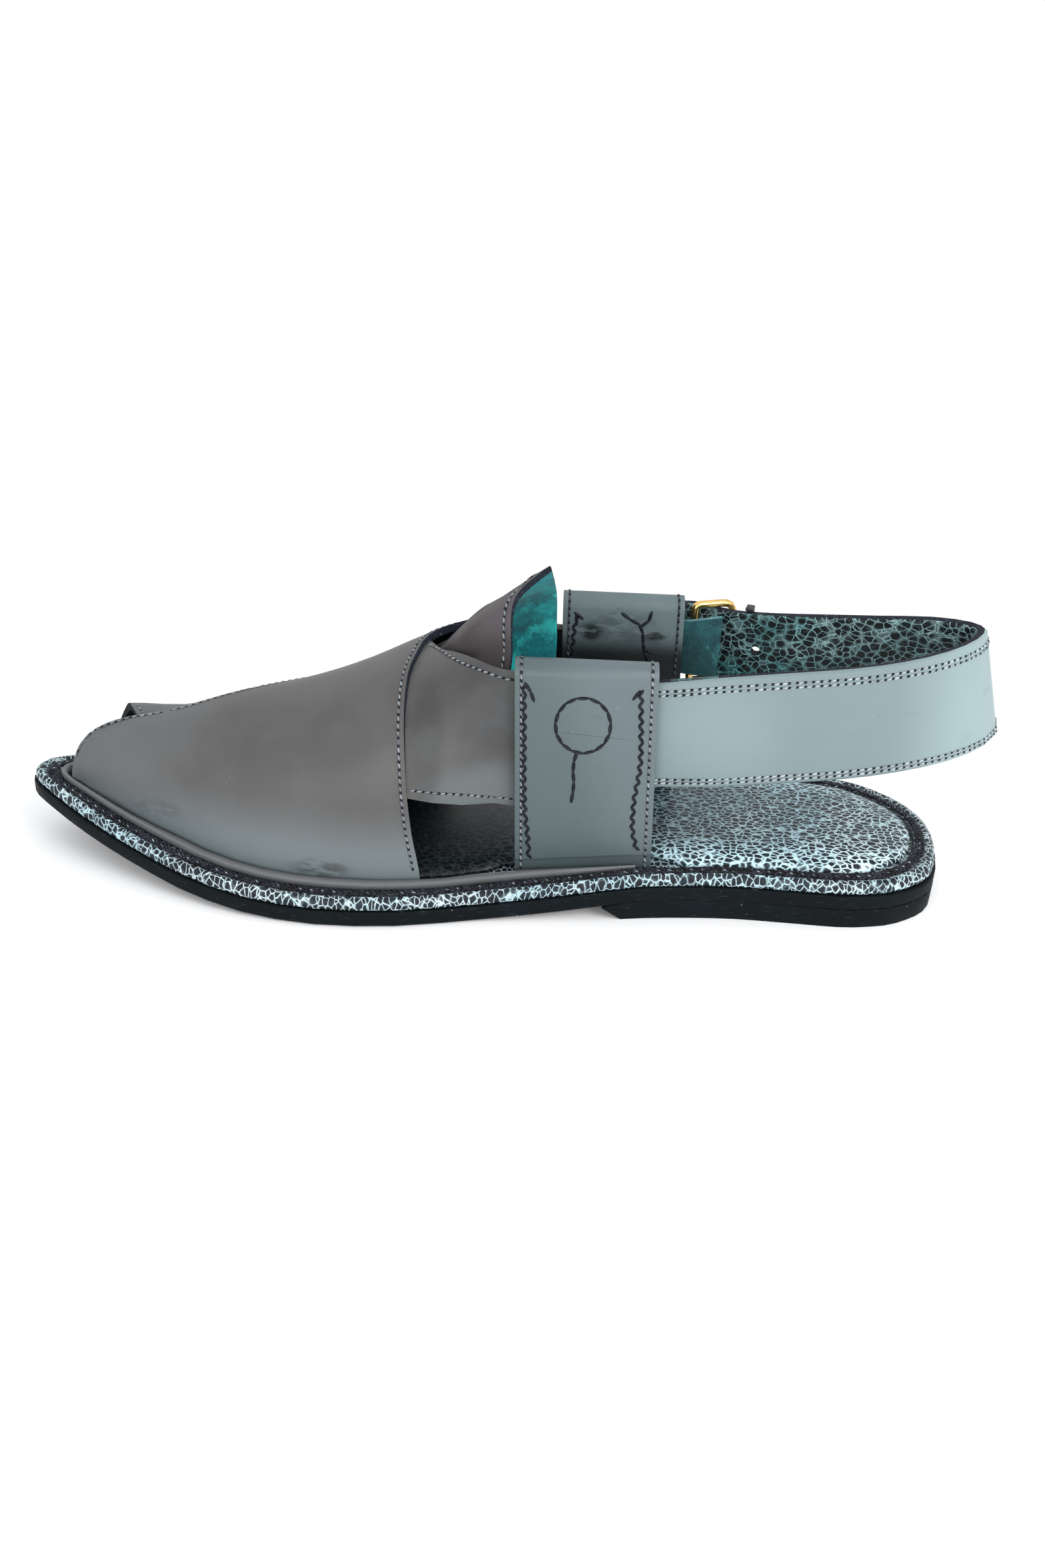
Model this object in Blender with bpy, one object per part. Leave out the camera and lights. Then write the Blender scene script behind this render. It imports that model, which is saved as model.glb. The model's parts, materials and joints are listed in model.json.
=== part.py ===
# Peshawari chappal, right foot, about EU 42: a sandal of two broad straps that cross over the
# instep, a peaked tongue, a folded tab at each side and a buckled sling round the heel.
# Frame: +Z up, toe towards -X, heel towards +X, the inner (medial) side towards -Y.
# The origin is on the floor, under the middle of the whole shoe. Lengths are in millimetres
# until a mesh is made. "Along" is the distance forward of the heel's back, "sideways" the
# distance from the shoe's centre line, and "girth" a share of a section: -1 at the medial foot
# line, 0 at the crest, +1 at the lateral foot line.

import bmesh
import bpy
import math
from mathutils import Vector

MM = 0.001
MEDIAL, LATERAL = -1, 1

# Driving dimensions
SOLE_LENGTH = 297.3
HEEL_BACK_X = 141.6
CENTRE_LINE_Y = -2.0
FIT_GAP = 0.3
OUTSOLE_THICK = 5.3
BREAST_FOOT = 104.3
BREAST_TOP = 110.5
LIFT_INSET = 0.5
FEATHER_INSET = 14.4
BED_HEIGHT = 2.6
STRAP_WALL = 2.4
STRAP_SINK = 0.8
TONGUE_WALL = 2.0
TAB_WALL = 2.2
TAB_SLOT = 4.4
SLING_WALL = 3.6
RING_STEPS = 36

# Half widths of the sole's edge
SOLE_EDGE = [
    # along, medial, lateral
    (0.0, 0.0, 0.0),
    (5.2, 24.0, 18.5),
    (10.8, 29.8, 25.5),
    (21.8, 35.4, 33.6),
    (34.8, 37.2, 37.0),
    (48.8, 36.3, 37.6),
    (69.8, 35.1, 38.8),
    (90.8, 36.2, 42.0),
    (111.8, 39.0, 44.8),
    (131.8, 40.6, 46.8),
    (152.3, 43.0, 48.8),
    (172.8, 47.4, 51.2),
    (193.0, 48.8, 52.8),
    (214.1, 46.6, 51.4),
    (235.8, 40.2, 46.0),
    (259.3, 28.4, 35.0),
    (279.8, 16.2, 21.6),
    (290.0, 8.8, 13.2),
    (SOLE_LENGTH, 0.0, 0.0),
]

# Half widths of the last's foot line, which the uppers stand on
LAST_EDGE = [
    # along, medial, lateral
    (14.4, 0.0, 0.0),
    (22.0, 15.4, 13.6),
    (34.8, 22.4, 22.2),
    (69.8, 22.0, 26.4),
    (101.8, 26.4, 30.0),
    (121.8, 26.6, 30.2),
    (142.1, 27.4, 33.0),
    (162.6, 32.4, 35.8),
    (182.8, 34.9, 38.0),
    (203.5, 33.8, 37.8),
    (224.8, 29.2, 34.2),
    (247.4, 18.8, 24.6),
    (271.4, 6.6, 10.4),
    (281.5, 0.0, 0.0),
]

# Height of the outsole's underside above the floor: waist, tread and toe spring
SOLE_UNDERSIDE = [
    # along, height
    (0.0, 6.2),
    (92.0, 6.2),
    (102.0, 5.9),
    (112.0, 4.7),
    (122.0, 3.2),
    (132.0, 1.9),
    (142.0, 0.8),
    (152.0, 0.15),
    (160.0, 0.0),
    (200.0, 0.0),
    (214.1, 0.35),
    (224.8, 1.1),
    (235.8, 2.3),
    (247.4, 4.1),
    (259.3, 6.5),
    (279.8, 11.6),
    (289.5, 14.4),
    (SOLE_LENGTH, 16.8),
]

# The last above its foot line: rise of the crest, its sideways place, fullness of the section
LAST_CREST = [
    # along, rise, sideways, fullness
    (281.5, 0.0, 0.0, 2.3),
    (273.8, 18.2, 0.8, 2.3),
    (266.8, 23.0, 1.4, 2.3),
    (251.8, 29.0, 2.0, 2.3),
    (230.8, 37.2, 2.0, 2.3),
    (208.3, 43.5, 2.0, 2.4),
    (187.9, 51.4, 1.8, 2.5),
    (167.7, 62.0, 1.4, 2.6),
    (156.4, 67.2, 1.0, 2.8),
    (143.4, 71.0, 0.4, 3.1),
    (131.2, 74.0, 0.0, 3.3),
    (111.8, 76.0, 0.0, 3.4),
]

# The two crossing straps, laid out on the last. Each row is one line across the strap.
STRAP_OVER = [
    # step, front along, front girth, rear along, rear girth
    (0.00, 281.0, -1.00, 167.6, -1.00),
    (0.12, 280.4, -0.50, 170.6, -0.86),
    (0.25, 277.5, -0.06, 172.2, -0.68),
    (0.40, 266.0, 0.00, 172.6, -0.44),
    (0.55, 247.0, 0.06, 171.8, -0.18),
    (0.70, 222.0, 0.22, 165.5, 0.14),
    (0.85, 182.0, 0.60, 148.0, 0.33),
    (0.93, 148.0, 0.80, 131.0, 0.50),
    (1.00, 109.0, 0.88, 109.0, 0.60),
]
STRAP_UNDER = [
    # step, front along, front girth, rear along, rear girth
    (0.00, 274.0, 1.00, 160.0, 1.00),
    (0.12, 270.5, 0.72, 163.0, 0.86),
    (0.25, 266.5, 0.38, 166.0, 0.68),
    (0.40, 261.5, 0.04, 168.5, 0.42),
    (0.55, 244.0, -0.24, 168.0, 0.14),
    (0.70, 215.0, -0.50, 161.5, -0.06),
    (0.85, 173.0, -0.73, 149.0, -0.175),
    (0.93, 150.0, -0.85, 139.5, -0.275),
    (1.00, 122.0, -0.95, 122.0, -0.47),
]
TOE_LIP = 5.2
TOE_LIP_DEPTH = 0.25
STRAP_ROWS = 34
STRAP_COLUMNS = 12
TUCK_START = 20.0

# The gap that the straps leave for the tongue: its edges as shares of the last's half width
TONGUE_WEDGE = [
    # along, near edge, far edge
    (196.0, 0.05, 0.30),
    (163.5, 0.02, 0.38),
    (158.0, -0.26, 0.47),
    (149.0, -0.40, 0.59),
    (142.0, -0.50, 0.66),
    (135.0, -0.58, 0.71),
    (127.0, -0.64, 0.75),
]
# How far the tongue stands up out of that gap
TONGUE_FLARE = [
    # along, rise
    (164.0, 0.0),
    (158.0, 5.6),
    (151.0, 10.2),
    (143.4, 11.0),
    (138.6, 13.8),
    (131.2, 18.6),
    (127.4, 20.5),
]
# The tongue's rear edge. Places 0 to 1 cross the gap, the others run on under the straps.
TONGUE_EDGE = [
    # place, along
    (-0.60, 142.6),
    (-0.25, 142.4),
    (0.00, 142.0),
    (0.03, 142.4),
    (0.07, 142.6),
    (0.13, 142.5),
    (0.20, 142.0),
    (0.29, 141.0),
    (0.36, 138.8),
    (0.41, 135.8),
    (0.455, 131.2),
    (0.52, 130.6),
    (0.60, 130.0),
    (0.70, 129.4),
    (0.82, 128.6),
    (1.00, 128.0),
    (1.25, 127.6),
    (1.60, 127.4),
    (2.00, 127.4),
]
TONGUE_PEAK = 0.455
TONGUE_FRONT = 190.0
TONGUE_ROWS = 14

# Side tabs, each a strip folded over the ends of the straps
TABS = [
    # name, side, outer face, front, width, foot lean, top
    ("tab_medial", MEDIAL, 29.0, 140.6, 42.6, 2.6, 82.6),
    ("tab_lateral", LATERAL, 32.3, 126.1, 39.4, 1.6, 83.6),
]
TAB_SLOT_FOOT = 26.0
TAB_SLOT_CLOSED = 21.0

# The sling round the heel, at the middle of its wall, from the medial tab to its free end
SLING_PATH = [
    # along, sideways, middle height, width, inward lean in degrees
    (120.0, -24.6, 57.0, 35.0, 0.0),
    (107.0, -24.6, 58.2, 35.3, 0.0),
    (94.0, -24.6, 59.4, 35.5, 0.0),
    (80.0, -25.3, 61.0, 35.5, 5.0),
    (60.0, -25.6, 63.5, 35.0, 8.0),
    (40.0, -24.6, 65.5, 34.6, 10.0),
    (24.0, -21.8, 67.2, 34.5, 11.0),
    (9.0, -16.0, 68.6, 34.5, 13.0),
    (-3.0, -7.0, 69.6, 34.5, 15.0),
    (-8.0, 3.0, 69.8, 34.5, 15.0),
    (-4.0, 12.0, 69.3, 34.0, 13.0),
    (8.0, 18.0, 68.5, 33.0, 11.0),
    (25.0, 21.0, 67.5, 31.0, 9.0),
    (42.0, 23.8, 66.8, 28.5, 6.0),
    (56.0, 26.6, 66.3, 26.0, 3.0),
    (65.0, 29.0, 66.1, 24.4, 0.0),
    (68.6, 30.3, 66.0, 24.0, 0.0),
    (72.0, 31.6, 66.0, 24.0, 0.0),
    (75.0, 33.0, 66.0, 24.0, 0.0),
    (78.0, 35.0, 66.0, 24.0, 0.0),
    (81.0, 36.6, 66.0, 24.0, 0.0),
    (84.0, 37.0, 66.0, 24.0, 0.0),
    (92.0, 36.6, 66.0, 24.0, 0.0),
    (102.0, 34.9, 65.8, 24.0, 0.0),
    (112.0, 34.8, 65.5, 23.0, 0.0),
    (118.0, 34.8, 65.4, 17.0, 0.0),
    (120.0, 34.8, 65.4, 8.0, 0.0),
]
SLING_HOLES = [
    # along, sideways, slope of the drill outwards per step back
    (61.5, 28.0, 4.0),
    (77.5, 34.6, 0.298),
]
HOLE_RADIUS = 1.5

# Buckle: two bars across the sling, joined by its sides. Each bar as along, sideways.
BUCKLE_MIDDLE = 66.0
BUCKLE_HALF_HEIGHT = 13.6
BAR_RADIUS = 1.3
FRONT_BAR = (82.5, 30.5)
REAR_BAR = (69.6, 34.4)
PRONG_RADIUS = 0.9
PRONG_TIP = 66.6
CHAPE_WALL = 1.6
CHAPE_ROOT = 107.0
SHIELD_REAR = 74.0
KEEPER_ALONG = 65.6
KEEPER_WIDTH = 2.6
KEEPER_WALL = 1.0


def slopes(places, values):
    # Slopes of a smooth curve through the points that never overshoots them
    steps = []
    for i in range(len(places) - 1):
        steps.append((values[i + 1] - values[i]) / (places[i + 1] - places[i]))
    inner = [0.0 if a * b <= 0 else 2 * a * b / (a + b) for a, b in zip(steps, steps[1:])]
    return [steps[0]] + inner + [steps[-1]]


def smooth(table, column, place, squared=False):
    # One column of a table, read at any place between its rows. Squared columns close round.
    rows = sorted(table)
    places = [row[0] for row in rows]
    values = [row[column] ** 2 if squared else row[column] for row in rows]
    tangents = slopes(places, values)
    place = min(max(place, places[0]), places[-1])
    index = max(i for i in range(len(places) - 1) if places[i] <= place)
    span = places[index + 1] - places[index]
    t = (place - places[index]) / span
    value = (
        (1 + 2 * t) * (1 - t) ** 2 * values[index]
        + t * (1 - t) ** 2 * span * tangents[index]
        + t * t * (3 - 2 * t) * values[index + 1]
        + t * t * (t - 1) * span * tangents[index + 1]
    )
    return math.sqrt(max(value, 0.0)) if squared else value


def ramp(value, low, high):
    # 0 at low, 1 at high, eased between them
    t = min(max((value - low) / (high - low), 0.0), 1.0)
    return t * t * (3 - 2 * t)


def place(along, sideways, height):
    return Vector((HEEL_BACK_X - along, CENTRE_LINE_Y + sideways, height))


def underside(along):
    return smooth(SOLE_UNDERSIDE, 1, along)


def sole_top(along):
    return underside(along) + OUTSOLE_THICK


def bed(along):
    # The level that the uppers, the rand and the insole stand on
    return sole_top(along) + BED_HEIGHT + FIT_GAP


def edge_point(table, share, side):
    # A point of an outline: share runs from 0 at the heel's back to 1 at the toe
    low, high = table[0][0], table[-1][0]
    along = low + (high - low) * (1 - math.cos(math.pi * share)) / 2
    return along, side * smooth(table, 1 if side == MEDIAL else 2, along, squared=True)


def ring_point(share, side, inset, height):
    # A point that lies inset from the sole's edge and at a height above the outsole's top
    outer_along, outer_side = edge_point(SOLE_EDGE, share, side)
    inner_along, inner_side = edge_point(LAST_EDGE, share, side)
    t = inset / FEATHER_INSET
    along = outer_along + (inner_along - outer_along) * t
    sideways = outer_side + (inner_side - outer_side) * t
    return place(along, sideways, sole_top(along) + height)


def ring(inset, height, extra=()):
    # A closed ring round the sole: medial side from heel to toe, then lateral side back
    read_inset = inset if callable(inset) else lambda share, side: inset
    shares = sorted([step / RING_STEPS for step in range(RING_STEPS + 1)] + list(extra))
    points = [ring_point(share, MEDIAL, read_inset(share, MEDIAL), height) for share in shares]
    for share in shares[-2:0:-1]:
        points.append(ring_point(share, LATERAL, read_inset(share, LATERAL), height))
    return points


def tab_rear(side):
    # Where a side's tab ends at its foot
    return next(row[3] - row[4] - row[5] for row in TABS if row[1] == side)


def tab_front(side):
    return next(row[3] for row in TABS if row[1] == side)


def last_section(along, girth):
    # A point on the last's surface at a section
    side = MEDIAL if girth < 0 else LATERAL
    foot = bed(along)
    half_width = smooth(LAST_EDGE, 1 if side == MEDIAL else 2, along, squared=True)
    rise = smooth(LAST_CREST, 1, along, squared=True)
    crest_side = smooth(LAST_CREST, 2, along)
    power = 2 / smooth(LAST_CREST, 3, along)
    angle = (1 - abs(girth)) * math.pi / 2
    reach = max(math.cos(angle), 0.0) ** power
    sideways = crest_side * (1 - reach) + side * half_width * reach
    return place(along, sideways, foot + rise * math.sin(angle) ** power)


def last_point(along, girth, lift):
    # A point at a distance out from the last, along its own normal
    here = last_section(along, girth)
    step_along, step_girth = 0.4, 0.01
    ahead = last_section(along + step_along, girth) - last_section(along - step_along, girth)
    low, high = max(girth - step_girth, -1.0), min(girth + step_girth, 1.0)
    across = last_section(along, high) - last_section(along, low)
    normal = across.cross(ahead)
    if abs(girth) > 0.97:
        flat = Vector((normal.x, normal.y, 0.0))
        normal = flat if flat.length > 0 else normal
    return here + normal.normalized() * lift


def material(name, colour, roughness, metallic=0.0):
    made = bpy.data.materials.new(name)
    made.use_nodes = True
    shader = made.node_tree.nodes["Principled BSDF"]
    shader.inputs["Base Color"].default_value = (*colour, 1.0)
    shader.inputs["Roughness"].default_value = roughness
    shader.inputs["Metallic"].default_value = metallic
    return made


def add_object(name, points, faces, finish):
    # Make one named object out of points in millimetres
    mesh = bpy.data.meshes.new(name)
    mesh.from_pydata([tuple(point * MM) for point in points], [], faces)
    work = bmesh.new()
    work.from_mesh(mesh)
    bmesh.ops.remove_doubles(work, verts=work.verts, dist=0.00001)
    bmesh.ops.recalc_face_normals(work, faces=work.faces)
    work.to_mesh(mesh)
    work.free()
    mesh.shade_smooth()
    mesh.set_sharp_from_angle(angle=math.radians(35))
    made = bpy.data.objects.new(name, mesh)
    bpy.context.scene.collection.objects.link(made)
    if finish:
        made.data.materials.append(finish)
    return made


def add_boolean(target, cutter, operation):
    cutter.hide_render = True
    cutter.display_type = "WIRE"
    change = target.modifiers.new(operation.lower(), "BOOLEAN")
    change.operation = operation
    change.solver = "EXACT"
    change.object = cutter


def loft(sections, closed=False, capped=True):
    # Join sections of equal point counts, each a closed loop, with quads
    points = [point for section in sections for point in section]
    size = len(sections[0])
    faces = []
    rows = len(sections) if closed else len(sections) - 1
    for row in range(rows):
        start, after = row * size, (row + 1) % len(sections) * size
        for i in range(size):
            j = (i + 1) % size
            faces.append((start + i, start + j, after + j, after + i))
    if capped and not closed:
        faces.append(tuple(range(size)))
        faces.append(tuple(reversed(range((len(sections) - 1) * size, len(sections) * size))))
    return points, faces


def stack(rings):
    # A body of rings round the sole, closed below and above by strips across the shoe
    points, faces = loft(rings, capped=False)
    size = len(rings[0])
    for base in (0, (len(rings) - 1) * size):
        for i in range(size // 2):
            quad = (i, i + 1, (size - i - 1) % size, (size - i) % size)
            faces.append(tuple(base + k for k in dict.fromkeys(quad)))
    return points, faces


def wall(outer, inner):
    # A closed sheet with thickness from two grids of the same size
    rows, columns = len(outer), len(outer[0])
    points = [point for row in outer for point in row] + [point for row in inner for point in row]
    count = rows * columns
    faces = []
    for r in range(rows - 1):
        for c in range(columns - 1):
            a, b = r * columns + c, r * columns + c + 1
            d, e = a + columns, b + columns
            faces.append((a, b, e, d))
            faces.append((count + a, count + d, count + e, count + b))
    rim = [c for c in range(columns)]
    rim += [r * columns + columns - 1 for r in range(1, rows)]
    rim += [(rows - 1) * columns + c for c in range(columns - 2, -1, -1)]
    rim += [r * columns for r in range(rows - 2, 0, -1)]
    for a, b in zip(rim, rim[1:] + rim[:1]):
        faces.append((a, count + a, count + b, b))
    return points, faces


def tube(path, radius, sides, closed=False):
    # A round bar along a path of points
    sections = []
    count = len(path)
    lift = None
    for i, point in enumerate(path):
        before = path[(i - 1) % count] if closed or i > 0 else point
        after = path[(i + 1) % count] if closed or i < count - 1 else point
        forward = (after - before).normalized()
        if lift is None:
            lift = forward.orthogonal().normalized()
        lift = (lift - forward * lift.dot(forward)).normalized()
        across = forward.cross(lift)
        turn = [2 * math.pi * k / sides for k in range(sides)]
        sections.append([point + (lift * math.cos(a) + across * math.sin(a)) * radius for a in turn])
    return loft(sections, closed=closed)


def outsole():
    rings = [
        ring(0.9, -OUTSOLE_THICK),
        ring(0.0, -OUTSOLE_THICK + 0.9),
        ring(0.0, -0.4),
        ring(0.4, 0.0),
    ]
    return add_object("outsole", *stack(rings), material("black_rubber", (0.02, 0.022, 0.024), 0.45))


def heel_lift():
    # The lift follows the sole's edge and ends in a breast that slopes forward as it rises
    steps = 22
    outlines = {}
    for level, front, inset in (("foot", BREAST_FOOT, LIFT_INSET), ("top", BREAST_TOP, 0.0)):
        sides = {MEDIAL: [], LATERAL: []}
        for step in range(steps + 1):
            along = front * (1 - math.cos(math.pi / 2 * step / steps))
            for side in (MEDIAL, LATERAL):
                column = 1 if side == MEDIAL else 2
                reach = smooth(SOLE_EDGE, column, along, squared=True)
                near = max(reach - inset, 0.0)
                height = 0.0 if level == "foot" else underside(along) - FIT_GAP
                sides[side].append(place(max(along, inset), side * near, height))
        outlines[level] = sides[MEDIAL] + sides[LATERAL][:0:-1]
    points = outlines["foot"] + outlines["top"]
    size = len(outlines["foot"])
    faces = []
    for i in range(size):
        j = (i + 1) % size
        faces.append((i, j, size + j, size + i))
    for base in (0, size):
        for i in range(steps):
            quad = (i, i + 1, size - i - 1, (size - i) % size)
            faces.append(tuple(base + k for k in dict.fromkeys(quad)))
    return add_object("heel_lift", points, faces, material("lift_rubber", (0.02, 0.022, 0.024), 0.5))


def footbed():
    # The wrapped midsole: rolled rim, sewn groove, corded ridge, then the flat bed
    profile = [
        # inset, height
        (1.2, FIT_GAP),
        (0.7, 1.1),
        (0.8, 2.5),
        (1.5, 3.7),
        (2.7, 4.2),
        (3.8, 3.8),
        (4.6, 2.9),
        (5.3, 3.6),
        (6.3, 4.0),
        (7.2, 3.5),
        (7.8, BED_HEIGHT),
    ]
    rings = [ring(inset, height) for inset, height in profile]
    return add_object("footbed", *stack(rings), material("crackle_rim", (0.35, 0.5, 0.5), 0.5))


def last_share(along):
    # The share of the last's foot line that lies at a distance along
    low, high = LAST_EDGE[0][0], LAST_EDGE[-1][0]
    return math.acos(1 - 2 * (along - low) / (high - low)) / math.pi


def insole_inset(shift):
    # The pad stops inside the uppers and the tabs, and reaches the ridge round the heel
    def read(share, side):
        along = edge_point(LAST_EDGE, share, side)[0]
        front = 15.2 + 2.9 * (1 - ramp(along, tab_front(side) + 1.0, tab_front(side) + 6.0))
        narrow = ramp(along, tab_rear(side) - 9.0, tab_rear(side) - 2.0)
        return shift + 8.5 + (front - 8.5) * narrow
    return read


def insole():
    # The padded insole, crowned towards its middle
    floor = BED_HEIGHT + FIT_GAP
    profile = [
        # inward shift, height
        (0.3, floor),
        (0.0, floor + 0.7),
        (0.5, floor + 1.6),
        (2.0, floor + 2.3),
        (5.0, floor + 2.8),
        (10.0, floor + 3.2),
    ]
    corners = []
    for side in (MEDIAL, LATERAL):
        corners += [last_share(tab_rear(side) - step) for step in (9.0, 2.0)]
        corners += [last_share(tab_front(side) + step) for step in (1.0, 6.0)]
    rings = [ring(insole_inset(shift), height, corners) for shift, height in profile]
    return add_object("insole", *stack(rings), material("crackle_pad", (0.3, 0.45, 0.46), 0.5))


def rand():
    # A grey leather roll round the foot of the uppers, thinning out beside the tabs
    outer, inner, low, high = 8.1, 11.5, BED_HEIGHT + FIT_GAP, BED_HEIGHT + 3.4
    shape = []
    for step in range(10):
        angle = 2 * math.pi * step / 10
        across = math.copysign(abs(math.cos(angle)) ** 0.8, math.cos(angle))
        up = math.copysign(abs(math.sin(angle)) ** 0.8, math.sin(angle))
        shape.append((0.5 - 0.5 * across, 0.5 + 0.5 * up))
    sections = []
    stations = [(MEDIAL, step / RING_STEPS) for step in range(RING_STEPS + 1)]
    stations += [(LATERAL, step / RING_STEPS) for step in range(RING_STEPS - 1, -1, -1)]
    for side, share in stations:
        along = edge_point(SOLE_EDGE, share, side)[0]
        if along < tab_rear(side) - 2.0:
            continue
        fade = 0.25 + 0.75 * ramp(along, tab_rear(side), tab_rear(side) + 45.0)
        width = (inner - outer) * fade - 1.4 * ramp(along, 255.0, 276.0)
        tall = (high - low) * (0.5 + 0.5 * fade)
        sections.append([ring_point(share, side, outer + width * s, low + tall * h) for s, h in shape])
    return add_object("rand", *loft(sections), material("rand_leather", (0.12, 0.13, 0.135), 0.45))


def tucked(point, along, girth, lift):
    # Near its tab a strap's end turns into the plane of the tab's slot
    side = MEDIAL if girth < 0 else LATERAL
    row = next(row for row in TABS if row[1] == side)
    front = row[3]
    share = 1 - ramp(along, front - 1.0, front + TUCK_START)
    slot_middle = row[2] - TAB_WALL - TAB_SLOT / 2
    flat_y = CENTRE_LINE_Y + side * (slot_middle + lift - STRAP_WALL / 2)
    return Vector((point.x, point.y + (flat_y - point.y) * share, point.z))


def strap(rows, base_lift, own_side, lip):
    # A strap's wall, from a table of lines across it. The lip lifts its front edge at the toe.
    grids = {0.0: [], STRAP_WALL: []}
    for step in range(STRAP_ROWS + 1):
        s = step / STRAP_ROWS
        front_along, front_girth, rear_along, rear_girth = (smooth(rows, c, s) for c in (1, 2, 3, 4))
        for depth, grid in grids.items():
            line = []
            for column in range(STRAP_COLUMNS + 1):
                t = (column / STRAP_COLUMNS) ** 1.3
                along = front_along + (rear_along - front_along) * t
                girth = front_girth + (rear_girth - front_girth) * t
                lift = depth + base_lift * ramp(girth * own_side, 0.95, 0.55)
                if girth > 0:
                    edge = max(1 - t / TOE_LIP_DEPTH, 0.0) ** 1.5
                    lift += lip * edge * ramp(girth, 1.0, 0.55) * ramp(girth, 0.0, 0.25)
                point = last_point(along, girth, lift)
                if girth * own_side < 0:
                    point = tucked(point, along, girth, depth)
                point.z = max(point.z, bed(HEEL_BACK_X - point.x))
                line.append(point)
            grid.append(line)
    return wall(grids[STRAP_WALL], grids[0.0])


def upper():
    # Both straps as one wall: the over strap is sunk a little into the under strap and joined
    grey = material("strap_leather", (0.13, 0.135, 0.14), 0.45)
    under = add_object("upper", *strap(STRAP_UNDER, 0.0, LATERAL, TOE_LIP), grey)
    rise = STRAP_WALL - STRAP_SINK
    over = add_object("strap_over_former", *strap(STRAP_OVER, rise, MEDIAL, 0.0), grey)
    add_boolean(under, over, "UNION")
    return under


def tongue_point(place_across, along, depth):
    # The tongue lies under the straps and stands up out of the gap between them
    near, far = smooth(TONGUE_WEDGE, 1, along), smooth(TONGUE_WEDGE, 2, along)
    share = near + (far - near) * place_across
    if place_across < 0:
        share = near + (0.95 + near) * place_across
    if place_across > 1:
        share = far + (0.95 - far) * (place_across - 1)
    power = 2 / smooth(LAST_CREST, 3, along)
    girth = 1 - math.acos(abs(share) ** (1 / power)) / (math.pi / 2)
    point = last_point(along, math.copysign(girth, share), -FIT_GAP - depth)
    slot_middle = TABS[1][2] - TAB_WALL - TAB_SLOT / 2
    point.y = min(point.y, CENTRE_LINE_Y + slot_middle - STRAP_WALL / 2 - 2 * FIT_GAP - depth)
    if 0 < place_across <= TONGUE_PEAK:
        stand = 1 - (1 - place_across / TONGUE_PEAK) ** 7
    else:
        stand = 1 - min(max((place_across - TONGUE_PEAK) / (1 - TONGUE_PEAK), 0.0), 1.0) ** 0.8
        stand = 0.0 if place_across <= 0 else stand
    return point + Vector((0, 0, smooth(TONGUE_FLARE, 1, along) * stand))


def tongue():
    outer, inner = [], []
    for place_across, rear in TONGUE_EDGE:
        front = TONGUE_FRONT - 16.0 * abs(place_across - 0.5) ** 2
        stations = [front + (rear - front) * step / TONGUE_ROWS for step in range(TONGUE_ROWS + 1)]
        outer.append([tongue_point(place_across, along, 0.0) for along in stations])
        inner.append([tongue_point(place_across, along, TONGUE_WALL) for along in stations])
    finish = material("tongue_leather", (0.12, 0.115, 0.125), 0.5)
    return add_object("tongue", *wall(outer, inner), finish)


def tab(row):
    # A folded strip: outer leaf up, over the strap ends, and the inner leaf down again
    name, side, face, front, width, foot_lean, top = row
    half = TAB_WALL / 2
    fold = TAB_SLOT / 2 + half
    middle = face - TAB_WALL - TAB_SLOT / 2
    closed = face - TAB_WALL - FIT_GAP / 2
    sections = []
    for station in range(7):
        t = station / 6
        along_top = front - width * t
        foot = bed(along_top - foot_lean)
        bend = top - fold - half
        centre = [(face - half, foot), (face - half, 0.5 * (foot + top)), (face - half, bend)]
        for step in range(1, 7):
            angle = math.pi * step / 6
            centre.append((middle + fold * math.cos(angle), bend + fold * math.sin(angle)))
        centre += [
            (middle - fold, 0.5 * (TAB_SLOT_FOOT + top)),
            (middle - fold, TAB_SLOT_FOOT),
            (closed - half - FIT_GAP / 2, TAB_SLOT_CLOSED),
            (closed - half - FIT_GAP / 2, foot),
        ]
        left, right = [], []
        for i, (side_at, height) in enumerate(centre):
            before, after = centre[max(i - 1, 0)], centre[min(i + 1, len(centre) - 1)]
            run = Vector((after[0] - before[0], after[1] - before[1])).normalized()
            square = Vector((run.y, -run.x)) * half
            lean = foot_lean * (top - height) / (top - foot)
            left.append(place(along_top - lean, side * (side_at + square.x), height + square.y))
            right.append(place(along_top - lean, side * (side_at - square.x), height - square.y))
        sections.append(left + right[::-1])
    grey = material(name + "_leather", (0.15, 0.16, 0.165), 0.4)
    return add_object(name, *loft(sections), grey)


def path_points(rows, between):
    # A smooth line through the rows of a table, with extra points between them
    fine = []
    last = len(rows) - 1
    for i in range(last):
        p0, p1, p2, p3 = rows[max(i - 1, 0)], rows[i], rows[i + 1], rows[min(i + 2, last)]
        for step in range(between):
            t = step / between
            point = []
            for a, b, c, d in zip(p0, p1, p2, p3):
                curve = 2 * b + (c - a) * t + (2 * a - 5 * b + 4 * c - d) * t * t
                point.append(0.5 * (curve + (3 * b - a - 3 * c + d) * t ** 3))
            fine.append(point)
    fine.append(list(rows[-1]))
    return fine


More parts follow.
